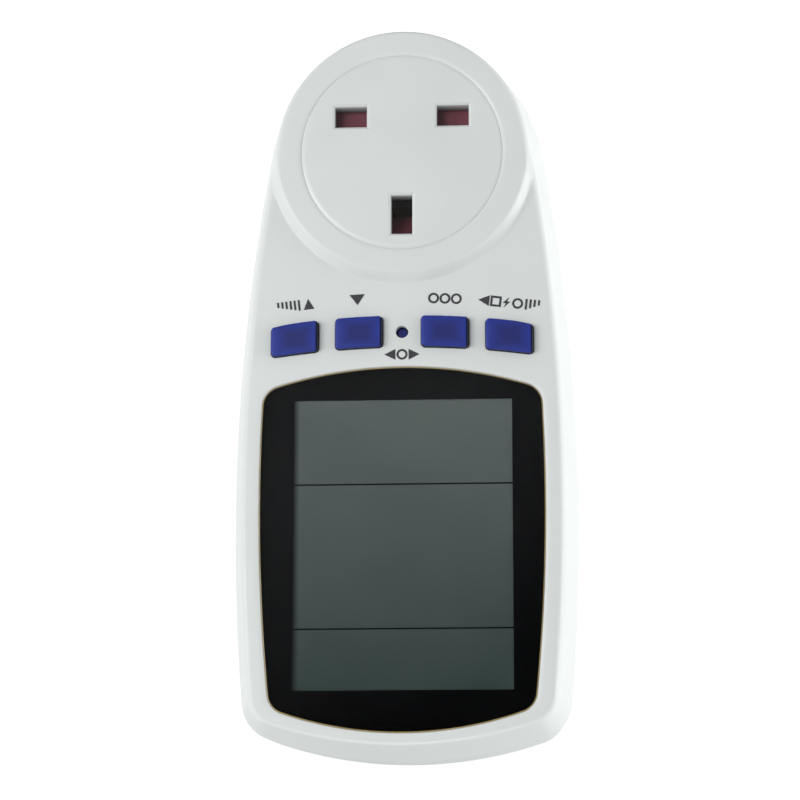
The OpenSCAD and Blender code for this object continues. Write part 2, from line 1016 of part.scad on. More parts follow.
module ribbon_cable() {
    strip_t = 0.5;
    low = display_board_back + 2.2;
    high = power_board_y - 2.2;
    mid = (low + high) / 2;
    bend = (high - low) / 2;
    color([0.55, 0.56, 0.58])
    across(-6, 6)
        difference() {
            translate([mid, 57])
                intersection() {
                    circle(bend + strip_t / 2);
                    translate([-2 * bend, 0])
                        square(4 * bend);
                }
            translate([mid, 57])
                circle(bend - strip_t / 2);
        }
}

module ribbon_headers() {
    color([0.90, 0.88, 0.80]) {
        slab(display_board_back, display_board_back + 2.4)
            rect(6.5, 53.6, 57);
        slab(power_board_y - 2.4, power_board_y)
            rect(6.5, 53.6, 57);
    }
}

// ---------- contacts and pins ----------

contact_t = 0.8;
carrier_y = -32.6;
carrier_base = power_board_y - 2;
power_contact_y = -20.6;
earth_contact_y = -17.4;

// Two-leaf contact seen from its side: [depth, across the pin]
module leaf_profile(base_y) {
    pinch = pin_t / 2;
    mouth = -31.4;
    for (side = [-1, 1])
        polygon([
            [base_y, side * (pinch + 0.5)],
            [-28, side * pinch],
            [mouth, side * (pinch + 0.7)],
            [mouth, side * (pinch + 0.7 + contact_t)],
            [-28, side * (pinch + contact_t)],
            [base_y, side * (pinch + 0.5 + contact_t)]]);
    translate([base_y - contact_t, -pinch - 0.5 - contact_t])
        square([contact_t, 2 * (pinch + 0.5 + contact_t)]);
}

module power_contact(x) {
    color(brass_color) {
        translate([x, 0, power_z])
            across(-2.8, 2.8)
                leaf_profile(power_contact_y);
        slab(power_contact_y - hair, power_board_y)
            translate([x, power_z])
                rect(1.4, 2.6, 3.2);
    }
}

module live_contact() {
    power_contact(live_x);
}

module neutral_contact() {
    power_contact(neutral_x);
}

module earth_contact() {
    color(brass_color) {
        translate([0, 0, earth_z])
            rotate([0, 90, 0])
                across(-3.4, 3.4)
                    leaf_profile(earth_contact_y);
        slab(earth_contact_y - hair, power_board_y - 0.4)
            translate([0, earth_z])
                rect(0.6, -2.4, 2.4);
    }
}

// Moulded block that holds the three contacts in separate towers
module contact_carrier() {
    color(dark_color)
    difference() {
        union() {
            slab(carrier_base, power_board_y)
                intersection() {
                    circle(22.5);
                    rect(18.5, -16, 21.5);
                }
            for (x = [live_x, neutral_x])
                slab(carrier_y, power_board_y)
                    translate([x, power_z])
                        rect(4.6, -5.4, 5.4);
            slab(carrier_y, power_board_y)
                translate([0, earth_z])
                    rect(5.4, -5.4, 5.4);
        }
        for (x = [live_x, neutral_x])
            slab(carrier_y - hair, power_contact_y + 0.05)
                translate([x, power_z])
                    rect(3.4, -4, 4);
        slab(carrier_y - hair, earth_contact_y + 0.05)
            translate([0, earth_z])
                rect(4, -4.2, 4.2);
        for (x = [live_x, neutral_x])
            slab(power_contact_y - hair, power_board_y + hair)
                translate([x, power_z])
                    rect(1.6, -1.2, 3.4);
        slab(earth_contact_y - hair, power_board_y + hair)
            translate([0, earth_z])
                rect(0.8, -2.6, 2.6);
        slab(carrier_base - hair, power_board_y + hair)
            discs(carrier_screws, post_bore_r + 0.2);
    }
}

// Brass pin with a tapered tip and a tang that goes through the power board
module plug_pin(x, z, half_w, half_h, length, tang_half_w, tang_half_h, tang_y) {
    taper = 1;
    color(brass_color)
    translate([x, 0, z]) {
        slab(back_in - 4.5, length - 2 * taper)
            rect(half_w, -half_h, half_h);
        hull() {
            slab(length - 2 * taper - hair, length - 2 * taper)
                rect(half_w, -half_h, half_h);
            slab(length - hair, length)
                rect(half_w - taper, taper - half_h, half_h - taper);
        }
        slab(tang_y, back_in - 4.5 + hair)
            rect(tang_half_w, -tang_half_h, tang_half_h);
    }
}

module sleeve_ring(x, grow) {
    translate([x, power_z])
        rect(power_pin_w / 2 - 0.45 + grow, -pin_t / 2 + 0.45 - grow, pin_t / 2 - 0.45 + grow);
}

module sleeve(x) {
    color(dark_color)
    difference() {
        slab(-1, sleeve_l)
            translate([x, power_z])
                rect(power_pin_w / 2, -pin_t / 2, pin_t / 2);
        slab(-1 - hair, sleeve_l + hair)
            sleeve_ring(x, 0);
    }
}

module power_pin(x) {
    color(brass_color)
    difference() {
        plug_pin(x, power_z, power_pin_w / 2, pin_t / 2, power_pin_l, 1.5, 0.7, power_board_y);
        // Waist for the insulating sleeve
        difference() {
            slab(-1, sleeve_l)
                translate([x, power_z])
                    rect(power_pin_w, -pin_t, pin_t);
            slab(-1 - hair, sleeve_l + hair)
                sleeve_ring(x, 0);
        }
    }
}

module live_pin() {
    power_pin(live_x);
}

module neutral_pin() {
    power_pin(neutral_x);
}

module earth_pin() {
    plug_pin(0, earth_z, pin_t / 2, earth_pin_h / 2, earth_pin_l, 0.6, 2.4, power_board_y - 0.4);
}

module live_sleeve() {
    sleeve(live_x);
}

module neutral_sleeve() {
    sleeve(neutral_x);
}

// ---------- screws ----------

// Pan-head screw along Y: the head's seat, the way it points, shank radius and length
module screw(seat_y, shank_r, head_r, head_h, length) {
    slab(seat_y, seat_y + head_h)
        difference() {
            circle(head_r);
            rect(head_r * 0.6, -head_r * 0.12, head_r * 0.12);
            rect(head_r * 0.12, -head_r * 0.6, head_r * 0.6);
        }
    slab(seat_y - length, seat_y + head_h * 0.4)
        circle(shank_r);
}

module housing_screws() {
    color(steel_color)
    for (p = case_screws)
        translate([p[0], 0, p[1]])
            screw(well_floor_y, 1.3, 2.6, 2, 19);
}

// Longer screws through the contact carrier and the power board
module carrier_screws() {
    color(steel_color)
    for (p = carrier_screws)
        translate([p[0], carrier_base, p[1]])
            rotate([0, 0, 180])
                screw(0, 0.8, 1.7, 1.2, 6.4);
}

module pcb_screws() {
    color(steel_color) {
        for (p = display_screws)
            translate([p[0], 0, p[1]])
                screw(display_board_back, 0.8, 1.7, 1.2, 4.4);
        for (p = power_screws)
            translate([p[0], power_board_y, p[1]])
                rotate([0, 0, 180])
                    screw(0, 0.8, 1.7, 1.2, 4.4);
    }
}

// ---------- assembly ----------

front_housing();
rear_housing();
socket_insert();
display_lens();
lens_mask();
lcd_polariser();
lcd_front_glass();
lcd_rear_glass();
lcd_reflector();
lcd_frame();
zebra_strip();
display_pcb();
controller_blob();
crystal();
backup_battery();
key_down();
key_up();
key_cost();
key_function();
reset_key();
switch_bodies();
plunger_down();
plunger_up();
plunger_cost();
plunger_function();
plunger_reset();
key_marks();
power_pcb();
shunt();
dropper_capacitor();
smoothing_capacitor();
varistor();
rectifier();
ribbon_cable();
ribbon_headers();
contact_carrier();
live_contact();
neutral_contact();
earth_contact();
live_pin();
neutral_pin();
earth_pin();
live_sleeve();
neutral_sleeve();
shutter();
shutter_spring();
housing_screws();
pcb_screws();
carrier_screws();
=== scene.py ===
"""Looks of the plug-in power meter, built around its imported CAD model.

Lengths inside the shape code are in millimetres, in the CAD frame: X across, Z up towards the
display end, -Y towards the user. They become metres when a mesh is made.
"""

import json
import math

import bmesh
import bpy
import numpy as np
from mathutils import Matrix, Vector
from mathutils.geometry import delaunay_2d_cdt

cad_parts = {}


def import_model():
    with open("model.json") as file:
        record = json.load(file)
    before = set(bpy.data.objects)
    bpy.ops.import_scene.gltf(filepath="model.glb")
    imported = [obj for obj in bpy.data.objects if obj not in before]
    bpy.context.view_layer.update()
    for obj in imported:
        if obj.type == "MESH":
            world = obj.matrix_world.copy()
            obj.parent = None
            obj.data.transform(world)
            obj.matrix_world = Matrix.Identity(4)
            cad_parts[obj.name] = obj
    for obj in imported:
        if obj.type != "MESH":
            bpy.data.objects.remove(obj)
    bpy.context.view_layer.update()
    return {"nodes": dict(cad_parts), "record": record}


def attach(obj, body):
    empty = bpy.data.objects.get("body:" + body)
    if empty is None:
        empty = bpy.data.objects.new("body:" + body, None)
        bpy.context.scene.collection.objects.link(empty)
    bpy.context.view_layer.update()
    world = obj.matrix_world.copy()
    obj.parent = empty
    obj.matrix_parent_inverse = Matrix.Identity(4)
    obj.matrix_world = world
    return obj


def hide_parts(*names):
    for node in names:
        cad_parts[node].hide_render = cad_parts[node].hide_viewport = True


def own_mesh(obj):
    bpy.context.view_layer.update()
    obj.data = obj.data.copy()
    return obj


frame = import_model()

MM = 0.001

# ---------- dimensions, most of them as in the CAD model ----------

# Outline of the case at its seam, and the share of a lean that its ends and corners take
CASE_HALF_W = 37.35
CASE_WIDE_Z = 77.0
HEAD_R = 30.5
CASE_TOP_Z = 130.45
CASE_TOP_R = 92.0
CASE_CORNER_R = 8.5
END_LEAN = 0.7
HEAD_END_LEAN = 0.82
CORNER_LEAN = 0.8

# Walls of the case, from the seam to the front face, the raised head and the back
WALL = 2.2
SEAM_Y = -24.0
SEAM_CHAMFER = 0.25
SEAM_GAP = 0.005
FRONT_Y = -40.0
FRONT_IN = -38.0
FRONT_DRAFT = 2.65
FRONT_ROUND = 1.5
HEAD_Y = -42.0
# The raised head falls to the front face between these two radii
HEAD_STEP_IN = 26.9
HEAD_STEP_OUT = 29.2
BACK_Y = -3.0
BACK_IN = BACK_Y - WALL
BACK_DRAFT = 1.4
BACK_ROUND = 2.5

# Soft rims, each from the face inwards as (distance out from the opening, step along Y)
WINDOW_RIM = [(1.15, 0.0), (0.9, 0.01), (0.55, 0.05), (0.25, 0.13), (0.13, 0.36), (0.1, 0.45)]
KEY_RIM = [(0.2, 0.0), (0.12, 0.05), (0.09, 0.12)]
RESET_RIM = [(0.12, 0.0), (0.04, 0.05), (0.0, 0.14)]
GROOVE_RIM = [(1.1, 0.0), (0.88, 0.006), (0.62, 0.03), (0.35, 0.1), (0.08, 0.22), (0.0, 0.25)]
SLOT_RIM = [(0.64, 0.0), (0.54, 0.03), (0.06, 0.54), (0.0, 0.66)]
WELL_RIM = [(0.2, 0.0), (0.0, -0.2)]
SEAT_RIM = [(0.12, 0.0), (0.0, -0.12)]

# Window opening
WINDOW_HALF_W = 30.5
WINDOW_WIDE_Z = 76.0
WINDOW_SIDE_R = 412.0
WINDOW_TOP_Z = 125.9
WINDOW_TOP_R = 78.0
WINDOW_LOW_Z = 47.5
WINDOW_LOW_R = 91.0
WINDOW_CORNER_R = 4.5
POCKET_FLOOR = -38.1
PAD_RIM = 0.9
PAD_IN = -36.8

# Window, its printed border, and the display behind them
LENS_FRONT = -39.6
LENS_BACK = -38.3
INK_GAP = 0.005
VIEW_HALF_W = 23.5
VIEW_LOW = 54.5
VIEW_TOP = 116.9
GLASS_HALF_W = 24.6
GLASS_LOW = 50.1
GLASS_TOP = 121.3
GLASS_LEDGE = 1.0
GLASS_LEDGE_T = 0.04
DISPLAY_RULES_Z = (72.85, 103.85)

# Socket insert, with the rails behind it that guide the shutter
INSERT_R = 21.75
INSERT_GAP = 0.15
INSERT_BACK = -37.6
FLANGE_R = 22.9
FLANGE_Y = -39.4
RAIL_X = 6.8
RAIL_T = 1.5
RAIL_LIP = 1.0
RAIL_BACK = -34.3
RAIL_LOW_Z = 2.0
RAIL_TOP_Z = 19.0

# Pins and apertures, each as (place, size of the pin, size of the aperture)
PIN_PITCH = 22.23
LIVE_X = PIN_PITCH / 2
EARTH_Z = 14.06
POWER_Z = EARTH_Z - PIN_PITCH
PINS = [((LIVE_X, POWER_Z), (6.35, 3.97), (7.0, 4.6)),
        ((-LIVE_X, POWER_Z), (6.35, 3.97), (7.0, 4.6)),
        ((0.0, EARTH_Z), (3.97, 7.94), (4.6, 8.6))]
PIN_FIT = 0.05
PIN_SEAT_Y = -3.5
PLUG_BASE_R = 26.4
PLUG_BASE_ROUND = 1.0

# Keys
INNER_KEY_X = 4.15
OUTER_KEY_X = 18.0
KEY_W = 10.2
KEY_H = 6.8
KEY_LOW_Z = 36.4
KEY_ROW_R = 194.0
KEY_CORNER_R = 0.9
KEY_TOP_Y = -41.3
KEY_EDGE = 0.42
KEY_FLANGE_Y = -37.7
KEY_FLANGE_RIM = 0.8
KEY_BACK_Y = -36.9
KEY_STEM_R = 1.6
KEY_STEM_Y = -36.2
RESET_Z = 39.8
RESET_HOLE_R = 1.35
RESET_TOP_Y = -38.6

# Case screws in their wells and bosses, and the posts of the two boards
CASE_SCREWS = [(27.9, 114.0), (-27.9, 114.0), (29.5, 62.0), (-29.5, 62.0), (0.0, -22.2)]
WELL_R = 2.9
WELL_FLOOR = -15.0
TOWER_R = 3.8
SCREW_HOLE_R = 1.6
BOSS_R = 2.6
BOSS_BORE_R = 1.35
DISPLAY_POSTS = [(28.3, 50.6), (-28.3, 50.6), (28.3, 98.0), (-28.3, 98.0)]
DISPLAY_POST_Y = -33.2
POWER_POSTS = [(20.5, 24), (-20.5, 24), (20.5, 58), (-20.5, 58), (15, 8), (-15, 8)]
POWER_POST_Y = -11.0
POST_R = 2.0
POST_BORE_R = 0.85

# Return spring of the shutter, and the rib that holds its far end
SPRING_R = 1.3
SPRING_WIRE = 0.4
SPRING_TURNS = 8
SPRING_Y = -36.35
SPRING_LOW_Z = 22.02
SPRING_END_Z = 32.0
SPRING_RIB_HALF_W = 2.5
SPRING_RIB_T = 1.6
SPRING_RIB_BACK = -34.6


# ---------- outlines ----------

def polar(centre, radius, angle):
    """The point at an angle on a circle."""
    return (centre[0] + radius * math.cos(angle), centre[1] + radius * math.sin(angle))


def arc(centre, radius, start, end, steps):
    """Points along an arc, without its last one."""
    return [polar(centre, radius, start + (end - start) * i / steps) for i in range(steps)]


def circle(centre, radius, steps=96):
    """A whole circle from its lowest point."""
    return arc(centre, radius, -math.pi / 2, 1.5 * math.pi, steps)


def head_circle(radius):
    """A fine circle round the axis of the socket head."""
    return circle((0, 0), radius, 192)


def rectangle(centre, half_w, half_h):
    """The corners of a rectangle."""
    x, z = centre
    return [(x - half_w, z - half_h), (x + half_w, z - half_h),
            (x + half_w, z + half_h), (x - half_w, z + half_h)]


def upright(half_w, low, high):
    """A rectangle on the case's middle line, between two heights."""
    return rectangle((0, (low + high) / 2), half_w, (high - low) / 2)


def heading(start, end):
    """The angle of the way from start to end."""
    return math.atan2(end[1] - start[1], end[0] - start[0])


def meet(a, ra, b, rb):
    """The meeting point of two circles that lies on the left of the line from a to b."""
    dx, dz = b[0] - a[0], b[1] - a[1]
    d = math.hypot(dx, dz)
    along = (ra * ra - rb * rb + d * d) / (2 * d)
    off = math.sqrt(ra * ra - along * along)
    return (a[0] + (along * dx - off * dz) / d, a[1] + (along * dz + off * dx) / d)


def mirrored(points):
    """Closes an outline drawn on its right side from its lowest to its highest point."""
    return points + [(-x, z) for x, z in reversed(points[1:-1])]


SIDE_R = ((CASE_HALF_W ** 2 + CASE_WIDE_Z ** 2 - HEAD_R ** 2)
          / (2 * (CASE_HALF_W - HEAD_R)))
SIDE_C = (CASE_HALF_W - SIDE_R, CASE_WIDE_Z)
HEAD_MEET = -math.atan2(CASE_WIDE_Z, -SIDE_C[0])


def case_outline(lean):
    """Outline of the case, drawn smaller by lean. Every lean gives the same number of points."""
    end_c = (0.0, CASE_TOP_Z - CASE_TOP_R)
    end_r = CASE_TOP_R - lean * END_LEAN
    corner = CASE_CORNER_R - lean * CORNER_LEAN
    corner_c = meet(SIDE_C, SIDE_R - lean - corner, end_c, end_r - corner)
    side_end = heading(SIDE_C, corner_c)
    end_start = heading(end_c, corner_c)
    head = []
    head_steps = 56
    for i in range(head_steps):
        angle = -math.pi / 2 + (HEAD_MEET + math.pi / 2) * i / head_steps
        ease = 1 - (1 - HEAD_END_LEAN) * math.sin(angle) ** 4
        head.append(polar((0, 0), HEAD_R - lean * ease, angle))
    return mirrored(
        head
        + arc(SIDE_C, SIDE_R - lean, HEAD_MEET, side_end, 130)
        + arc(corner_c, corner, side_end, end_start, 22)
        + arc(end_c, end_r, end_start, math.pi / 2, 36)
        + [(0.0, CASE_TOP_Z - lean * END_LEAN)])


def window_outline(grow):
    """Outline of the display window, drawn larger by grow."""
    side_c = (WINDOW_HALF_W - WINDOW_SIDE_R, WINDOW_WIDE_Z)
    top_c = (0.0, WINDOW_TOP_Z - WINDOW_TOP_R)
    low_c = (0.0, WINDOW_LOW_Z + WINDOW_LOW_R)
    side = WINDOW_SIDE_R + grow
    top = WINDOW_TOP_R + grow
    low = WINDOW_LOW_R + grow
    corner = WINDOW_CORNER_R + grow
    up_c = meet(side_c, side - corner, top_c, top - corner)
    down_c = meet(low_c, low - corner, side_c, side - corner)
    return mirrored(
        arc(low_c, low, -math.pi / 2, heading(low_c, down_c), 30)
        + arc(down_c, corner, heading(low_c, down_c), heading(side_c, down_c), 12)
        + arc(side_c, side, heading(side_c, down_c), heading(side_c, up_c), 40)
        + arc(up_c, corner, heading(side_c, up_c), heading(top_c, up_c), 12)
        + arc(top_c, top, heading(top_c, up_c), math.pi / 2, 30)
        + [(0.0, WINDOW_TOP_Z + grow)])


def key_bottom(x):
    """Height of the curved line that the keys stand on."""
    return KEY_LOW_Z + x * x / (2 * KEY_ROW_R)


def key_droop(x_low, x):
    """How far the low edge of an outer key curls up towards its outer corner."""
    if x_low != OUTER_KEY_X:
        return 0.0
    along = min(max((x - x_low) / KEY_W, 0.0), 1.0)
    return 0.45 * along ** 4


def key_outline(x_low, grow, side=1):
    """Outline of one key, drawn larger by grow. side is 1 on the right and -1 on the left."""
    corner = max(KEY_CORNER_R + grow, 0.1)
    inset = corner - grow
    left, right = x_low + inset, x_low + KEY_W - inset

    def low(x):
        return key_bottom(x) + key_droop(x_low, x)

    def high(x):
        return key_bottom(x) + KEY_H

    quarter = math.pi / 2
    across = [left + (right - left) * i / 12 for i in range(1, 12)]
    points = (arc((left, low(left) + inset), corner, 2 * quarter, 3 * quarter, 10)
              + [(x, low(x) + inset - corner) for x in [left] + across]
              + arc((right, low(right) + inset), corner, 3 * quarter, 4 * quarter, 10)
              + arc((right, high(right) - inset), corner, 0, quarter, 10)
              + [(x, high(x) - inset + corner) for x in [right] + across[::-1]]
              + arc((left, high(left) - inset), corner, quarter, 2 * quarter, 10))
    return [(side * x, z) for x, z in points]


# ---------- surface heights ----------

class Edge:
    """A drafted wall that rounds over into a flat face. Leans count inwards from the seam.

    The wall runs from seam_y at lean 0 to draft_y at lean draft, and on along the same line.
    """

    def __init__(self, flat_y, seam_y, draft, draft_y, radius):
        self.flat_y = flat_y
        self.seam_y = seam_y
        self.radius = radius
        self.way = 1 if flat_y < seam_y else -1
        self.slope = draft / (self.way * (seam_y - draft_y))
        self.turn = math.pi / 2 - math.atan(self.slope)
        corner = self.slope * self.way * (seam_y - flat_y)
        tangent = radius * math.tan(self.turn / 2)
        self.round_start = corner - tangent * math.cos(self.turn)
        self.round_end = corner + tangent

    def height(self, lean):
        """Depth of the surface at a lean."""
        if lean <= self.round_start:
            return self.seam_y - self.way * lean / self.slope
        if lean >= self.round_end:
            return self.flat_y
        dx = self.round_end - lean
        drop = self.radius - math.sqrt(max(self.radius ** 2 - dx ** 2, 0.0))
        return self.flat_y + self.way * drop

    def leans(self, steps=9):
        """Leans that follow the rounding in even steps of angle."""
        return [self.round_end - self.radius * math.sin(self.turn * (1 - i / steps))
                for i in range(steps + 1)]


def front_edge(flat_y):
    """Edge of the front shell where it rounds over into a face at flat_y."""
    return Edge(flat_y, SEAM_Y - SEAM_CHAMFER, FRONT_DRAFT, FRONT_Y + FRONT_ROUND, FRONT_ROUND)


BACK_EDGE = Edge(BACK_Y, SEAM_Y + SEAM_CHAMFER, BACK_DRAFT, BACK_Y - BACK_ROUND, BACK_ROUND)


def smooth_step(a, b, x):
    """Rises from 0 at a to 1 at b in a soft S."""
    s = min(max((x - a) / (b - a), 0.0), 1.0)
    return s * s * (3 - 2 * s)


def front_top(x, z):
    """Depth of the front face's flat: the raised head falls to the face in a soft S."""
    r = math.hypot(x, z)
    return HEAD_Y + (FRONT_Y - HEAD_Y) * smooth_step(HEAD_STEP_IN, HEAD_STEP_OUT, r)


def front_height(x, z, lean):
    """Depth of the front shell's outer face."""
    return front_edge(front_top(x, z)).height(lean)


def back_height(_x, _z, lean):
    """Depth of the rear shell's outer face, which is the same all round."""
    return BACK_EDGE.height(lean)


def head_lean(x, z):
    """Lean at a point near the head, where only the head's arc and the side arcs matter."""
    x = abs(x)
    if math.atan2(z, x) < HEAD_MEET:
        return HEAD_R - math.hypot(x, z)
    return SIDE_R - math.hypot(x - SIDE_C[0], z - SIDE_C[1])


# ---------- mesh building ----------

class Surface:
    """Collects loops of points and joins them into closed, smooth-shaded surfaces."""

    def __init__(self):
        self.points = []
        self.faces = []

    def loop(self, outline, y):
        """Adds an outline at one depth, or at the depth that y(x, z) gives."""
        first = len(self.points)
        for x, z in outline:
            depth = y(x, z) if callable(y) else y
            self.points.append((x, depth, z))
        return list(range(first, len(self.points)))

    def bridge(self, a, b):
        """Joins two loops of the same length with quads."""
        n = len(a)
        for i in range(n):
            j = (i + 1) % n
            self.faces.append((a[i], a[j], b[j], b[i]))

    def chain(self, outlines_and_depths, start):
        """Bridges a row of (outline, depth) one after the other, and returns the last loop."""
        for outline, y in outlines_and_depths:
            new = self.loop(outline, y)
            self.bridge(start, new)
            start = new
        return start

    def soft_rim(self, outline, rim, face_y, end_y):
        """Leads an outline round a soft rim and on to end_y. Returns its first and last loop.

        outline(out) gives it for each distance out, and rim is one of the rims listed above.
        """
        first = self.loop(outline(rim[0][0]), face_y)
        last = self.chain([(outline(out), face_y + step) for out, step in rim[1:]]
                          + [(outline(rim[-1][0]), end_y)], first)
        return first, last

    def fill(self, outer, holes=(), extra=(), height=None):
        """Fills the space inside loop outer, less the holes, with triangles.

        extra holds open or closed lines of points that the triangles keep to, and height(x, z)
        gives the depth of those points.
        """
        loops = [outer] + list(holes)
        indices = [i for loop in loops for i in loop]
        flat = [Vector((self.points[i][0], self.points[i][2])) for i in indices]
        edges = []
        first = 0
        for loop in loops:
            n = len(loop)
            edges += [(first + i, first + (i + 1) % n) for i in range(n)]
            first += n
        for line in extra:
            start = len(flat)
            for x, z in line:
                flat.append(Vector((x, z)))
                indices.append(len(self.points))
                self.points.append((x, height(x, z), z))
            edges += [(start + i, start + i + 1) for i in range(len(line) - 1)]
        points, _, triangles, origins, _, _ = delaunay_2d_cdt(flat, edges, [], 0, 1e-7)
        to_index = []
        for p, origin in zip(points, origins):
            if origin:
                to_index.append(indices[origin[0]])
            else:
                to_index.append(len(self.points))
                self.points.append((p.x, height(p.x, p.y), p.y))
        xz = np.array([(p.x, p.y) for p in points])
        tri = np.array(triangles)
        centres = xz[tri].mean(axis=1)
        keep = inside(centres, [self.xz(i) for i in outer])
        for hole in holes:
            keep &= ~inside(centres, [self.xz(i) for i in hole])
        for t in tri[keep]:
            self.faces.append(tuple(to_index[i] for i in t))

    def xz(self, i):
        """Where a point lies as seen from the front."""
        return (self.points[i][0], self.points[i][2])

    def lid(self, loop):
        """Closes a convex loop with one face."""
        self.faces.append(tuple(loop))

    def tube(self, centre, r_out, r_in, front, back, steps=48):
        """A closed ring of wall along Y, or a closed rod if r_in is 0."""
        outer = circle(centre, r_out, steps)
        outer_front = self.loop(outer, front)
        outer_back = self.chain([(outer, back)], outer_front)
        if r_in == 0:
            self.lid(outer_front)
            self.lid(outer_back)
            return
        inner = circle(centre, r_in, steps)
        inner_back = self.chain([(inner, front), (inner, back)], outer_front)
        self.bridge(inner_back, outer_back)

    def block(self, low, high):
        """A closed box between two opposite corners."""
        outline = [(low[0], low[2]), (high[0], low[2]), (high[0], high[2]), (low[0], high[2])]
        front = self.loop(outline, low[1])
        back = self.chain([(outline, high[1])], front)
        self.lid(front)
        self.lid(back)

    def build(self, name, sharp_degrees=25):
        """Makes the object, smooth but for edges sharper than sharp_degrees."""
        mesh = bpy.data.meshes.new(name)
        mesh.from_pydata([(x * MM, y * MM, z * MM) for x, y, z in self.points], [], self.faces)
        work = bmesh.new()
        work.from_mesh(mesh)
        bmesh.ops.remove_doubles(work, verts=work.verts, dist=1e-7)
        bmesh.ops.recalc_face_normals(work, faces=work.faces)
        work.to_mesh(mesh)
        work.free()
        mesh.shade_smooth()
        mesh.set_sharp_from_angle(angle=math.radians(sharp_degrees))
        obj = bpy.data.objects.new(name, mesh)
        bpy.context.scene.collection.objects.link(obj)
        return obj


def inside(points, outline):
    """Which of the points lie inside a closed outline."""
    outline = np.array(outline)
    x, z = points[:, 0], points[:, 1]
    result = np.zeros(len(points), bool)
    ax, az = outline[:, 0], outline[:, 1]
    bx, bz = np.roll(ax, -1), np.roll(az, -1)
    for i in range(len(outline)):
        if az[i] == bz[i]:
            continue
        crosses = (az[i] > z) != (bz[i] > z)
        at = ax[i] + (z - az[i]) * (bx[i] - ax[i]) / (bz[i] - az[i])
        result ^= crosses & (x < at)
    return result


# ---------- the case ----------

def shell_walls(surface, height, leans, chamfer_y):
    """Outer wall from the seam inwards: a chamfer, then one loop for each lean."""
    edge = surface.loop(case_outline(SEAM_CHAMFER), chamfer_y)
    last = edge
    for lean in leans:
        outline = case_outline(lean)
        new = surface.loop(outline, lambda x, z, lean=lean: height(x, z, lean))
        surface.bridge(last, new)
        last = new
    return edge, last


def head_step_rings():
    """Lines of points that follow the step of the raised head, cut off where the face ends."""
    first_r = HEAD_STEP_IN - 0.6
    ring_step = 0.15
    flat_lean = 4.8
    rings = []
    for i in range(22):
        r = first_r + ring_step * i
        ring = []
        for p in circle((0, 0), r, 240) + [(0.0, -r)]:
            if head_lean(*p) > flat_lean:
                ring.append(p)
            elif ring:
                rings.append(ring)
                ring = []
        if ring:
            rings.append(ring)
    return [ring for ring in rings if len(ring) > 1]


def front_housing():
    """Front shell: outer wall, openings with their soft rims, inner wall, bosses and posts."""
    s = Surface()
    leans = sorted([0.0, 0.6, 1.2, 1.8, 2.3] + front_edge(FRONT_Y).leans()
                   + front_edge(HEAD_Y).leans() + [4.7])
    edge, flat = shell_walls(s, front_height, leans, SEAM_Y - SEAM_GAP)

    # The window's opening ends in a pocket, and a hole for the glass leads on from there
    window, pocket = s.soft_rim(window_outline, WINDOW_RIM, FRONT_Y, POCKET_FLOOR)
    seen = upright(GLASS_HALF_W, GLASS_LOW + GLASS_LEDGE, GLASS_TOP)
    glass = upright(GLASS_HALF_W, GLASS_LOW, GLASS_TOP)
    glass_front = s.loop(seen, POCKET_FLOOR)
    glass_back = s.chain([(seen, POCKET_FLOOR + GLASS_LEDGE_T),
                          (glass, POCKET_FLOOR + GLASS_LEDGE_T), (glass, PAD_IN)], glass_front)
    s.fill(pocket, [glass_front])
    pad = s.loop(window_outline(PAD_RIM), PAD_IN)
    s.fill(pad, [glass_back])
    pad_root = s.chain([(window_outline(PAD_RIM), FRONT_IN)], pad)

    # The other openings lead straight through, and the head's widens for the insert's flange
    openings = [(window, pad_root)]
    for side in (1, -1):
        for x_low in (INNER_KEY_X, OUTER_KEY_X):
            openings.append(s.soft_rim(lambda out: key_outline(x_low, out, side),
                                       KEY_RIM, FRONT_Y, FRONT_IN))
    openings.append(s.soft_rim(lambda out: circle((0, RESET_Z), RESET_HOLE_R + out, 40),
                               RESET_RIM, FRONT_Y, FRONT_IN))
    head, flange = s.soft_rim(lambda out: head_circle(INSERT_R + INSERT_GAP + out),
                              GROOVE_RIM, HEAD_Y, FLANGE_Y)
    flange_hole = head_circle(FLANGE_R + INSERT_GAP)
    openings.append((head, s.chain([(flange_hole, FLANGE_Y), (flange_hole, FRONT_IN)], flange)))
    mouths, roots = zip(*openings)
    s.fill(flat, mouths, head_step_rings(), front_top)

    # Inner face, inner wall and the rim at the seam
    inner = s.loop(case_outline(FRONT_DRAFT + WALL), FRONT_IN)
    s.fill(inner, roots)
    rim = s.chain([(case_outline(WALL), SEAM_Y - SEAM_GAP)], inner)
    s.bridge(rim, edge)

    # Posts and rib start a little inside the wall that they stand on
    for x, z in CASE_SCREWS:
        front = PAD_IN - 0.3 if z > 0 else INSERT_BACK + 0.1
        s.tube((x, z), BOSS_R, BOSS_BORE_R, front, SEAM_Y - 0.1)
    for post in DISPLAY_POSTS:
        s.tube(post, POST_R, POST_BORE_R, PAD_IN - 0.3, DISPLAY_POST_Y)
    s.block((-SPRING_RIB_HALF_W, FRONT_IN - 0.3, SPRING_END_Z),
            (SPRING_RIB_HALF_W, SPRING_RIB_BACK, SPRING_END_Z + SPRING_RIB_T))
    return s.build("case_front")


def screw_well(s, centre, mouth_y):
    """Screw well inside its tower. Returns the loop at its mouth and the one at its root."""
    def ring(radius):
        return circle(centre, radius, 48)

    tower_end = SEAM_Y + 0.1
    mouth, bottom = s.soft_rim(lambda out: ring(WELL_R + out), WELL_RIM, mouth_y, WELL_FLOOR)
    root = s.chain([(ring(SCREW_HOLE_R), WELL_FLOOR), (ring(SCREW_HOLE_R), tower_end),
                    (ring(TOWER_R), tower_end), (ring(TOWER_R), BACK_IN - 1.5),
                    (ring(TOWER_R - 0.55), BACK_IN)], bottom)
    return mouth, root


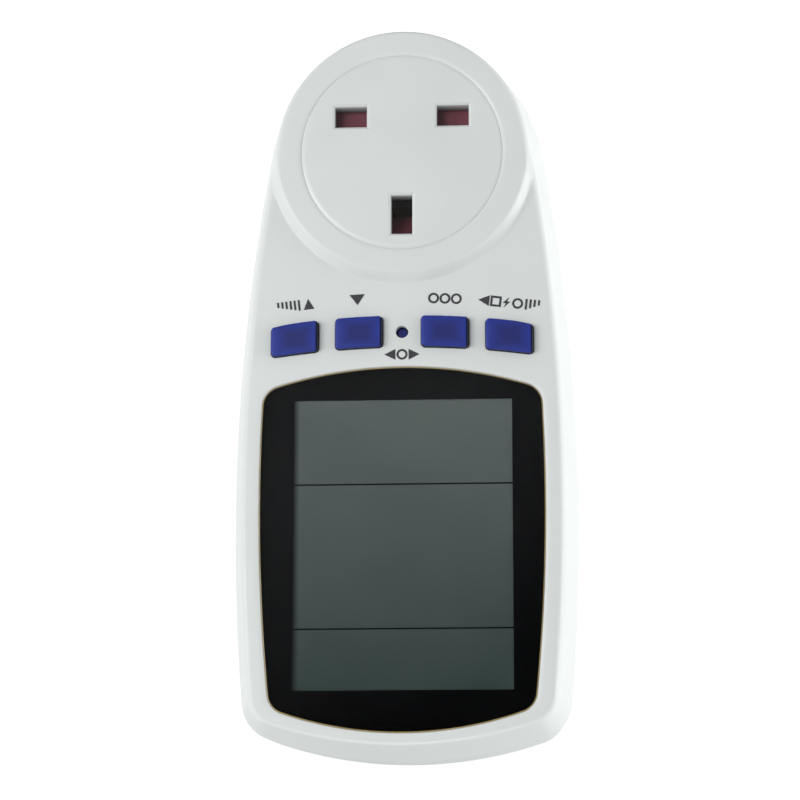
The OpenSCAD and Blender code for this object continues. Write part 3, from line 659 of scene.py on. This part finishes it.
def rear_housing():
    """Rear shell: outer wall, plug base, pin seats, screw wells inside towers, board posts."""
    s = Surface()
    leans = sorted([0.0, 0.4, 0.8, 1.1] + BACK_EDGE.leans() + [4.0])
    edge, flat = shell_walls(s, back_height, leans, SEAM_Y + SEAM_GAP)

    # Flat of the back, and the round plug base that stands out from it
    base_root = s.loop(head_circle(PLUG_BASE_R), BACK_Y)
    wells = [screw_well(s, p, BACK_Y) for p in CASE_SCREWS if p[1] > 0]
    s.fill(flat, [base_root] + [mouth for mouth, _ in wells])
    base = s.chain([(head_circle(PLUG_BASE_R), -PLUG_BASE_ROUND)], base_root)
    for i in range(1, 9):
        a = math.pi / 2 * i / 8
        base = s.chain([(head_circle(PLUG_BASE_R + PLUG_BASE_ROUND * (math.cos(a) - 1)),
                         PLUG_BASE_ROUND * (math.sin(a) - 1))], base)
    base_wells = [screw_well(s, p, 0.0) for p in CASE_SCREWS if p[1] < 0]
    seats = []
    for centre, (w, h), _ in PINS:
        half_w, half_h = w / 2 + PIN_FIT, h / 2 + PIN_FIT
        seat, end = s.soft_rim(lambda out: rectangle(centre, half_w + out, half_h + out),
                               SEAT_RIM, 0.0, PIN_SEAT_Y)
        s.lid(end)
        seats.append(seat)
    s.fill(base, [mouth for mouth, _ in base_wells] + seats)

    # Inner wall from the seam, and the inner face round the roots of the towers
    rim = s.loop(case_outline(WALL), SEAM_Y + SEAM_GAP)
    s.bridge(edge, rim)
    inner_lean = BACK_DRAFT + WALL
    inner = s.chain([(case_outline(inner_lean), BACK_IN - 1.5),
                     (case_outline(inner_lean + 0.2), BACK_IN - 0.4),
                     (case_outline(inner_lean + 0.6), BACK_IN)], rim)
    s.fill(inner, [root for _, root in wells + base_wells])
    for post in POWER_POSTS:
        s.tube(post, POST_R, POST_BORE_R, POWER_POST_Y, BACK_IN + 0.2)
    return s.build("case_back")


def socket_insert():
    """Round insert with its three chamfered apertures, flange, and rails for the shutter."""
    s = Surface()
    rim_r = INSERT_R + INSERT_GAP - 0.03
    face, rim = s.soft_rim(lambda out: head_circle(rim_r - out), GROOVE_RIM, HEAD_Y, FLANGE_Y)
    back = s.chain([(head_circle(FLANGE_R), FLANGE_Y), (head_circle(FLANGE_R), INSERT_BACK)], rim)
    apertures = []
    for centre, _, (w, h) in PINS:
        apertures.append(s.soft_rim(lambda out: rectangle(centre, w / 2 + out, h / 2 + out),
                                    SLOT_RIM, HEAD_Y, INSERT_BACK))
    mouths, ends = zip(*apertures)
    s.fill(face, mouths)
    s.fill(back, ends)
    for side in (1, -1):
        s.block((side * RAIL_X, INSERT_BACK - 0.2, RAIL_LOW_Z),
                (side * (RAIL_X + RAIL_T), RAIL_BACK, RAIL_TOP_Z))
        s.block((side * (RAIL_X - RAIL_LIP), RAIL_BACK - RAIL_LIP, RAIL_LOW_Z),
                (side * (RAIL_X + 0.1), RAIL_BACK, RAIL_TOP_Z))
    return s.build("socket_face")


def shutter_spring():
    """Coil of round wire between the shutter and the rib that holds the coil's far end."""
    s = Surface()
    rise = SPRING_END_Z - SPRING_LOW_Z - SPRING_WIRE
    steps, sides = 24 * SPRING_TURNS, 10
    pitch = rise / (2 * math.pi * SPRING_TURNS)
    rings = []
    for i in range(steps + 1):
        angle = 2 * math.pi * SPRING_TURNS * i / steps
        out = Vector((math.cos(angle), math.sin(angle), 0.0))
        along = Vector((-SPRING_R * out.y, SPRING_R * out.x, pitch)).normalized()
        up = out.cross(along)
        middle = Vector((0.0, SPRING_Y, SPRING_LOW_Z + (SPRING_WIRE + 2 * rise * i / steps) / 2))
        middle += SPRING_R * out
        first = len(s.points)
        for u, v in circle((0, 0), SPRING_WIRE / 2, sides):
            s.points.append(tuple(middle + u * out + v * up))
        rings.append(list(range(first, first + sides)))
    for a, b in zip(rings, rings[1:]):
        s.bridge(a, b)
    s.lid(rings[0])
    s.lid(rings[-1])
    return s.build("return_spring", sharp_degrees=50)


# ---------- window and display ----------

def display_lens():
    """Clear window with a small polished chamfer."""
    s = Surface()
    front = s.loop(window_outline(-0.2), LENS_FRONT)
    back = s.chain([(window_outline(-0.06), LENS_FRONT + 0.05),
                    (window_outline(0.0), LENS_FRONT + 0.2),
                    (window_outline(0.0), LENS_BACK)], front)
    s.fill(front)
    s.fill(back)
    return s.build("window", sharp_degrees=5)


def lens_mask():
    """Black border printed behind the window, round the visible display."""
    s = Surface()
    front = s.loop(window_outline(-0.05), LENS_BACK + INK_GAP)
    back = s.chain([(window_outline(-0.05), POCKET_FLOOR - INK_GAP)], front)
    view = upright(VIEW_HALF_W, VIEW_LOW, VIEW_TOP)
    hole_front = s.loop(view, LENS_BACK + INK_GAP)
    hole_back = s.chain([(view, POCKET_FLOOR - INK_GAP)], hole_front)
    s.fill(front, [hole_front])
    s.fill(back, [hole_back])
    return s.build("window_border")


def window_edge():
    """The cut edge of the acrylic, which shows as a thin amber line round the window."""
    s = Surface()
    first = s.loop(window_outline(-0.17), LENS_FRONT - 0.006)
    last = s.chain([(window_outline(-0.06), LENS_FRONT + 0.02),
                    (window_outline(0.04), LENS_FRONT + 0.2),
                    (window_outline(-0.17), LENS_FRONT - 0.003)], first)
    s.bridge(last, first)
    return s.build("window_edge")


def display_rules():
    """The two thin segment lines that cross the display."""
    s = Surface()
    half_h = 0.17
    for z in DISPLAY_RULES_Z:
        s.block((-VIEW_HALF_W, POCKET_FLOOR + 0.02, z - half_h),
                (VIEW_HALF_W, POCKET_FLOOR + 0.045, z + half_h))
    return s.build("display_rules")


# ---------- keys ----------

def key(name, x_low, side):
    """One blue key: softly rounded top, sides, hidden flange and stem."""
    s = Surface()
    root = s.loop(key_outline(x_low, 0.0, side), KEY_FLANGE_Y)
    last = s.chain([(key_outline(x_low, 0.0, side), KEY_TOP_Y + KEY_EDGE)], root)
    crown = 0.02
    for i in range(1, 8):
        a = math.pi / 2 * i / 7
        last = s.chain([(key_outline(x_low, KEY_EDGE * (math.cos(a) - 1), side),
                         KEY_TOP_Y + crown + (KEY_EDGE - crown) * (1 - math.sin(a)))], last)
    last = s.chain([(key_outline(x_low, -1.3, side), KEY_TOP_Y + 0.008),
                    (key_outline(x_low, -2.4, side), KEY_TOP_Y)], last)
    s.fill(last)
    s.fill(root)
    mid_x = x_low + KEY_W / 2
    mid_z = key_bottom(mid_x) + KEY_H / 2
    flange = s.loop(key_outline(x_low, KEY_FLANGE_RIM, side), KEY_FLANGE_Y)
    back = s.chain([(key_outline(x_low, KEY_FLANGE_RIM, side), KEY_BACK_Y)], flange)
    s.fill(flange)
    s.fill(back)
    s.tube((side * mid_x, mid_z), KEY_STEM_R, 0, KEY_BACK_Y - 0.1, KEY_STEM_Y)
    return s.build(name)


def reset_key():
    """Small round key that stands deep in its hole, turned from one profile."""
    s = Surface()
    r = RESET_HOLE_R - 0.3
    profile = [(r - 0.5, RESET_TOP_Y), (r - 0.3, RESET_TOP_Y + 0.01),
               (r - 0.1, RESET_TOP_Y + 0.07), (r - 0.02, RESET_TOP_Y + 0.18),
               (r, RESET_TOP_Y + 0.3), (r, KEY_FLANGE_Y), (2.2, KEY_FLANGE_Y),
               (2.2, KEY_BACK_Y), (1.4, KEY_BACK_Y), (1.4, KEY_STEM_Y)]
    loops = [(circle((0, RESET_Z), radius, 48), y) for radius, y in profile]
    front = s.loop(*loops[0])
    back = s.chain(loops[1:], front)
    s.lid(front)
    s.lid(back)
    return s.build("reset_button")


# ---------- materials ----------

def srgb(r, g, b):
    """Linear colour of an sRGB one given from 0 to 255."""
    def linear(c):
        c /= 255
        return c / 12.92 if c <= 0.04045 else ((c + 0.055) / 1.055) ** 2.4
    return (linear(r), linear(g), linear(b), 1.0)


class Tree:
    """A node tree with short calls for the nodes that the finishes and the surround share."""

    def __init__(self, tree):
        self.tree = tree

    def give(self, node, **inputs):
        """Sets inputs of a node, each to a plain value or to the output of another node."""
        for name, value in inputs.items():
            self.connect(value, node.inputs[name.replace("_", " ")])

    def connect(self, value, socket):
        """Sets one input to a plain value, or links it if the value is a node's output."""
        if isinstance(value, bpy.types.NodeSocket):
            self.tree.links.new(value, socket)
        else:
            socket.default_value = value

    def add(self, kind, **inputs):
        """A new node with the inputs given. An underscore in a name stands for a space."""
        node = self.tree.nodes.new(kind)
        self.give(node, **inputs)
        return node

    def axes(self, vector):
        """The X, Y and Z of a vector, by name."""
        return self.add("ShaderNodeSeparateXYZ", Vector=vector).outputs

    def calculate(self, operation, *values):
        """The result of one operation on numbers or outputs."""
        node = self.add("ShaderNodeMath")
        node.operation = operation
        for value, socket in zip(values, node.inputs):
            self.connect(value, socket)
        return node.outputs["Value"]

    def ranged(self, value, low, high, from_low=0.3, from_high=0.7):
        """Carries the range of a value over to low and high, and cuts it off outside."""
        return self.add("ShaderNodeMapRange", Value=value, From_Min=from_low, From_Max=from_high,
                        To_Min=low, To_Max=high).outputs["Result"]

    def mixed(self, factor, a, b):
        """Goes from colour a to colour b as the factor goes from 0 to 1."""
        node = self.add("ShaderNodeMix")
        node.data_type = "RGBA"
        self.connect(factor, node.inputs["Factor"])
        self.connect(a, node.inputs[6])
        self.connect(b, node.inputs[7])
        return node.outputs[2]


class Finish(Tree):
    """A material whose patterns are measured in millimetres on the object."""

    def __init__(self, name):
        self.material = bpy.data.materials.new(name)
        self.material.use_nodes = True
        super().__init__(self.material.node_tree)
        self.shader = self.tree.nodes["Principled BSDF"]
        self.coordinates = self.add("ShaderNodeTexCoord").outputs

    def looks(self, **inputs):
        """Sets inputs of the material's shader."""
        self.give(self.shader, **inputs)

    def stretched(self, scale=(1, 1, 1)):
        """Coordinates in millimetres, stretched by a scale along each axis."""
        return self.add("ShaderNodeMapping", Vector=self.coordinates["Object"],
                        Scale=[v / MM for v in scale]).outputs["Vector"]

    def noise(self, size_mm, detail=3.0, roughness=0.55, stretch=(1, 1, 1)):
        """Noise whose features are about size_mm across."""
        return self.add("ShaderNodeTexNoise", Vector=self.stretched(stretch), Scale=1.0 / size_mm,
                        Detail=detail, Roughness=roughness).outputs["Fac"]

    def bump(self, height, strength, distance_mm):
        """Lets a pattern stand out from the surface a little."""
        node = self.add("ShaderNodeBump", Height=height, Strength=strength,
                        Distance=distance_mm * MM)
        self.looks(Normal=node.outputs["Normal"])


def shade(color, factor):
    """A colour made darker or lighter by a factor."""
    return tuple(min(c * factor, 1.0) for c in color[:3]) + (1.0,)


def finish(name, color, rough, metallic=0.0, spread=0.06, patch_mm=9.0, grain_mm=0.25,
           grain=0.1, stretch=(1, 1, 1), specular=0.5, painted_recess_shade=None, painted_glow=0.0):
    """A moulded, drawn or painted finish: patches of tone, uneven gloss and fine grain.

    Painted shade, given as (depth where it starts, depth where it ends, shade there), darkens a
    finish inside narrow openings. A faint painted glow stands in for the light that reaches a part
    deep in the case.
    """
    n = Finish(name)
    n.looks(Metallic=metallic, Specular_IOR_Level=specular)
    # Painted glow: emission that stands in for the faint light reaching a part deep in the case
    if painted_glow:
        n.looks(Emission_Color=(1.0, 0.95, 0.95, 1.0), Emission_Strength=painted_glow)
    tone = n.ranged(n.noise(patch_mm, stretch=stretch), 0, 1)
    paint = n.mixed(tone, shade(color, 1 - spread), shade(color, 1 + spread))
    # Painted shade: the colour darkens with depth along Y, as if shaded inside a narrow opening
    if painted_recess_shade:
        start, end, least = painted_recess_shade
        depth = n.ranged(n.axes(n.stretched())["Y"], 0, 1, start, end)
        paint = n.mixed(depth, paint, shade(color, least))
    gloss = n.ranged(n.noise(patch_mm * 0.4, detail=5, stretch=stretch),
                     rough * 0.85, rough * 1.15)
    n.looks(Base_Color=paint, Roughness=gloss)
    n.bump(n.noise(grain_mm, detail=2, stretch=stretch), grain, grain_mm * 0.2)
    return n.material


def clear_window(name):
    """Clear acrylic with a polished face and a trace of fine wiping marks."""
    n = Finish(name)
    tint = n.mixed(n.ranged(n.noise(14.0), 0, 1), (0.86, 0.88, 0.89, 1), (0.92, 0.93, 0.93, 1))
    wiping = n.ranged(n.noise(6.0, detail=6), 0.01, 0.035)
    n.looks(Transmission_Weight=1.0, IOR=1.49, Base_Color=tint, Roughness=wiping)
    return n.material


def border_ink(name):
    """Black print behind the window, greyer towards its near left corner by a painted reflection.
    """
    n = Finish(name)
    reflection_slant = n.axes(n.stretched((-0.6, 1, 1)))
    # Painted reflection: the ink greys along a slant towards one corner, plus random tone from
    # noise
    painted_reflection_and_tone = n.calculate("MULTIPLY_ADD", n.noise(12.0), 8.0,
                         n.calculate("ADD", reflection_slant["X"], reflection_slant["Z"]))
    ink = n.mixed(n.ranged(painted_reflection_and_tone, 0, 1, 64, 129), srgb(47, 47, 48), srgb(17, 17, 19))
    n.looks(Base_Color=ink, Specular_IOR_Level=0.0, Roughness=n.ranged(n.noise(0.5), 0.55, 0.65))
    return n.material


def display_film(name):
    """Grey-green display: darker towards its far end, and a painted border shadow at one side."""
    n = Finish(name)
    spot = n.axes(n.stretched())
    along = n.ranged(spot["Z"], 0, 1, VIEW_LOW, VIEW_TOP)
    near = n.mixed(n.ranged(n.noise(38.0, detail=1), 0, 1), srgb(137, 147, 145),
                   srgb(145, 154, 152))
    far = n.mixed(n.ranged(n.noise(30.0, detail=1), 0, 1), srgb(82, 98, 95),
                  srgb(88, 103, 100))
    # Painted shadow of the border along one side of the display
    painted_border_shadow = n.ranged(spot["X"], 0, 1, VIEW_HALF_W - 1.5, VIEW_HALF_W - 0.1)
    film = n.mixed(painted_border_shadow, n.mixed(along, near, far), srgb(34, 32, 38))
    n.looks(Base_Color=film, Specular_IOR_Level=0.1, Roughness=n.ranged(n.noise(0.5), 0.42, 0.55))
    n.bump(n.noise(0.2, detail=1), 0.05, 0.02)
    return n.material


def key_finish(name, top_y):
    """Blue key, deeper blue in its middle, with a painted highlight at its rim, painted shade down
    its sides, and a painted shadow along one side.
    """
    n = Finish(name)
    whole = n.axes(n.coordinates["Generated"])
    offsets = [n.calculate("ABSOLUTE", n.calculate("SUBTRACT", whole[axis], 0.5))
               for axis in ("X", "Z")]
    reach = n.calculate("MULTIPLY_ADD", n.noise(2.5), 0.12, n.calculate("MAXIMUM", *offsets))
    # Painted highlight: the rim is lighter, as if lit along its rounded edge
    rim = n.ranged(reach, 0, 1, 0.2, 0.48)
    # Painted shade down the key's sides, below its top
    painted_side_shade = n.ranged(n.axes(n.stretched())["Y"], 0, 1, top_y + 0.2, top_y + 0.4)
    # Painted shadow along the key's side that faces away from the light
    painted_lee_shadow = n.ranged(whole["X"], 0, 1, 0.125, 0.102)
    paint = n.mixed(rim, srgb(40, 46, 112), srgb(45, 60, 150))
    paint = n.mixed(painted_side_shade, paint, srgb(16, 18, 56))
    paint = n.mixed(painted_lee_shadow, paint, srgb(9, 11, 36))
    n.looks(Base_Color=paint, Specular_IOR_Level=0.22, Roughness=n.ranged(n.noise(1.5), 0.34, 0.46))
    n.bump(n.noise(0.14, detail=2), 0.12, 0.03)
    return n.material


def make_materials():
    """Every finish by name. The names are the CAD slots, and two of the finishes are extra."""
    case = srgb(222, 226, 225)
    brass = srgb(214, 178, 98)
    brass_grain = dict(rough=0.27, metallic=1.0, spread=0.08, grain_mm=0.12, grain=0.12,
                       stretch=(1, 0.08, 1))
    steel_grain = dict(rough=0.32, metallic=1.0, spread=0.07, grain_mm=0.1, grain=0.1)
    return {
        "case_plastic": finish("case_plastic", case, 0.42, spread=0.012, patch_mm=22,
                               grain_mm=0.12, grain=0.05),
        # The insert gets painted shade on the walls deep inside its apertures
        "insert_plastic": finish("insert_plastic", case, 0.34, spread=0.012, patch_mm=18,
                                 grain_mm=0.12, grain=0.05, painted_recess_shade=(-41.0, -38.0, 0.35)),
        "window_acrylic": clear_window("window_acrylic"),
        "amber_edge": finish("amber_edge", srgb(182, 160, 106), 0.3, spread=0.2, patch_mm=8),
        "black_ink": border_ink("black_ink"),
        "lcd_film": display_film("lcd_film"),
        "lcd_glass": finish("lcd_glass", srgb(120, 134, 130), 0.06, spread=0.04),
        "reflector_film": finish("reflector_film", srgb(150, 158, 150), 0.4, spread=0.05,
                                 grain_mm=0.1, stretch=(1, 1, 0.1)),
        "frame_plastic": finish("frame_plastic", srgb(224, 226, 224), 0.5, spread=0.03),
        "zebra_rubber": finish("zebra_rubber", srgb(196, 128, 138), 0.7, spread=0.1,
                               patch_mm=0.8, stretch=(6, 1, 1)),
        "board_laminate": finish("board_laminate", srgb(36, 104, 58), 0.3, spread=0.16,
                                 patch_mm=3, grain_mm=0.5, grain=0.12),
        "black_epoxy": finish("black_epoxy", srgb(26, 26, 28), 0.22, spread=0.15, patch_mm=4),
        "crystal_can": finish("crystal_can", srgb(196, 198, 200), **steel_grain),
        "battery_wrap": finish("battery_wrap", srgb(52, 116, 74), 0.28, spread=0.08,
                               grain_mm=1.5, grain=0.15, stretch=(0.2, 1, 1)),
        "key_rubber": key_finish("key_rubber", KEY_TOP_Y),
        "reset_rubber": key_finish("reset_rubber", RESET_TOP_Y),
        "switch_plastic": finish("switch_plastic", srgb(38, 38, 40), 0.5, spread=0.1),
        "plunger_plastic": finish("plunger_plastic", srgb(206, 190, 156), 0.5, spread=0.06),
        "mark_ink": finish("mark_ink", srgb(52, 54, 58), 0.6, spread=0.12, patch_mm=0.6,
                           grain_mm=0.1, grain=0.15),
        "shunt_alloy": finish("shunt_alloy", srgb(186, 178, 164), **steel_grain),
        "capacitor_box": finish("capacitor_box", srgb(214, 176, 66), 0.4, spread=0.06),
        "capacitor_can": finish("capacitor_can", srgb(38, 44, 74), 0.25, spread=0.1),
        "varistor_ceramic": finish("varistor_ceramic", srgb(44, 92, 168), 0.35, spread=0.1,
                                   grain_mm=0.6, grain=0.25),
        "ribbon_vinyl": finish("ribbon_vinyl", srgb(156, 158, 164), 0.5, spread=0.14,
                               patch_mm=1.27, stretch=(1, 0.05, 0.05)),
        "header_plastic": finish("header_plastic", srgb(228, 224, 206), 0.5, spread=0.04),
        # Painted glow on the carrier, standing in for light that reaches it deep in the case
        "carrier_plastic": finish("carrier_plastic", srgb(66, 64, 64), 0.55, spread=0.1,
                                  painted_glow=0.011),
        "contact_brass": finish("contact_brass", brass, **brass_grain),
        "pin_brass": finish("pin_brass", brass, **brass_grain),
        "sleeve_plastic": finish("sleeve_plastic", srgb(30, 30, 32), 0.48, spread=0.12,
                                 grain=0.15),
        # Painted glow on the shutter too, standing in for light deep in the apertures
        "shutter_plastic": finish("shutter_plastic", srgb(124, 58, 71), 0.35, spread=0.1,
                                  patch_mm=2, painted_glow=0.012),
        "spring_steel": finish("spring_steel", srgb(186, 188, 192), **steel_grain),
        "screw_steel": finish("screw_steel", srgb(190, 191, 194), **steel_grain),
    }


# ---------- placing ----------

materials = make_materials()


def place(obj, body, slot, *nodes, material=None):
    """Gives a new piece its body and its finish, and hides the CAD nodes it stands for."""
    obj.data.materials.append(materials[material or slot])
    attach(obj, body)
    if nodes:
        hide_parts(*nodes)
    return obj


def dress_cad_nodes():
    """Gives every CAD node the procedural finish of its slot."""
    slots = {part["node"]: part["material_slot"] for part in frame["record"]["subparts"]}
    for name, obj in frame["nodes"].items():
        obj.data.materials.clear()
        obj.data.materials.append(materials[slots[name]])
        for polygon in obj.data.polygons:
            polygon.material_index = 0


def soften(name, width_mm, segments=2):
    """Breaks the hard edges of a CAD node with a small bevel."""
    obj = frame["nodes"][name]
    weld = obj.modifiers.new("weld", "WELD")
    weld.merge_threshold = 1e-6
    bevel = obj.modifiers.new("bevel", "BEVEL")
    bevel.width = width_mm * MM
    bevel.segments = segments
    bevel.limit_method = "ANGLE"
    bevel.angle_limit = math.radians(35)
    bevel.harden_normals = True


dress_cad_nodes()
soften("shutter", 0.15)
soften("housing_screws", 0.1)
for cad_name in ("live_pin", "neutral_pin", "earth_pin"):
    soften(cad_name, 0.25)
for cad_name in ("live_sleeve", "neutral_sleeve"):
    soften(cad_name, 0.2)
place(front_housing(), "housing", "case_plastic", "front_housing")
place(rear_housing(), "housing", "case_plastic", "rear_housing")
place(socket_insert(), "housing", "insert_plastic", "socket_insert")
spring = place(shutter_spring(), "housing", "spring_steel", "shutter_spring")
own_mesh(spring)
place(display_lens(), "housing", "window_acrylic", "display_lens")
place(lens_mask(), "housing", "black_ink", "lens_mask")
place(window_edge(), "housing", "window_acrylic", material="amber_edge")
place(display_rules(), "housing", "black_ink")
for key_name, x, side in (("down", OUTER_KEY_X, 1), ("up", INNER_KEY_X, 1),
                          ("cost", INNER_KEY_X, -1), ("function", OUTER_KEY_X, -1)):
    place(key("button_" + key_name, x, side), key_name + "_button", "key_rubber",
          "key_" + key_name)
place(reset_key(), "reset_button", "key_rubber", "reset_key", material="reset_rubber")


# ---------- floor, light and camera ----------

def floor():
    """White floor behind and below the object, in metres."""
    mesh = bpy.data.meshes.new("floor")
    half_w, near, far, z = 4.0, 0.5, 9.0, -0.35
    mesh.from_pydata([(-half_w, near, z), (half_w, near, z), (half_w, far, z),
                      (-half_w, far, z)], [], [(0, 1, 2, 3)])
    obj = bpy.data.objects.new("floor", mesh)
    paint = finish("floor_paint", srgb(250, 250, 250), 0.9, spread=0.005, patch_mm=400,
                   grain_mm=3, grain=0.02)
    shader = paint.node_tree.nodes["Principled BSDF"]
    shader.inputs["Emission Color"].default_value = (1, 1, 1, 1)
    shader.inputs["Emission Strength"].default_value = 0.5
    obj.data.materials.append(paint)
    bpy.context.scene.collection.objects.link(obj)


def area_light(name, position, target, size, power, color):
    """A round soft light that points at a target. Lengths are in metres, power in watts."""
    data = bpy.data.lights.new(name, "AREA")
    data.shape = "DISK"
    data.size = size
    data.energy = power
    data.color = color
    obj = bpy.data.objects.new(name, data)
    obj.location = position
    obj.rotation_euler = (Vector(target) - Vector(position)).to_track_quat("-Z", "Y").to_euler()
    bpy.context.scene.collection.objects.link(obj)


def world():
    """White behind the object, and a soft surround: bright at the sides, dark in front."""
    studio = bpy.data.worlds.new("studio")
    bpy.context.scene.world = studio
    studio.use_nodes = True
    n = Tree(studio.node_tree)
    n.tree.nodes.clear()
    way = n.axes(n.add("ShaderNodeTexCoord").outputs["Generated"])
    depth = n.ranged(way["Y"], 0.018, 0.9, -0.995, -0.45)
    sides = n.ranged(n.calculate("ABSOLUTE", way["X"]), 0.55, 1.05, 0.2, 0.85)
    balance = n.ranged(way["X"], 1.13, 0.79, -1.0, 1.0)
    strength = n.calculate("MULTIPLY", n.calculate("MULTIPLY", depth, sides), balance)
    soft = n.add("ShaderNodeBackground", Color=(0.97, 0.985, 1.0, 1), Strength=strength)
    white = n.add("ShaderNodeBackground", Color=(1, 1, 1, 1), Strength=1.0)
    seen_directly = n.add("ShaderNodeLightPath").outputs["Is Camera Ray"]
    mix = n.add("ShaderNodeMixShader", Fac=seen_directly)
    n.connect(soft.outputs["Background"], mix.inputs[1])
    n.connect(white.outputs["Background"], mix.inputs[2])
    n.add("ShaderNodeOutputWorld", Surface=mix.outputs["Shader"])


def camera():
    """From in front, a little above and to the left, with the display end low in the view."""
    data = bpy.data.cameras.new("camera")
    data.lens = 134.5
    data.sensor_width = 36.0
    data.clip_start = 0.01
    obj = bpy.data.objects.new("camera", data)
    obj.location = (-0.04131, -0.66302, 0.19229)
    obj.rotation_euler = [math.radians(a) for a in (-77.585, 0.0606, 176.182)]
    bpy.context.scene.collection.objects.link(obj)
    bpy.context.scene.camera = obj


floor()
world()
centre = (0, -0.03, 0.05)
area_light("left_light", (0.77, -0.67, 0.1), centre, 0.5, 3.5, (1.0, 1.0, 0.99))
area_light("right_light", (-0.97, -0.09, 0.05), centre, 0.6, 4.6, (1.0, 0.99, 0.95))
area_light("front_light", (0.4, -0.95, 0.0), centre, 0.4, 3.0, (1.0, 1.0, 0.99))
area_light("top_light", (0.0, 0.05, 0.9), centre, 0.5, 1.95, (1.0, 1.0, 0.98))
camera()
bpy.context.scene.view_settings.view_transform = "Standard"
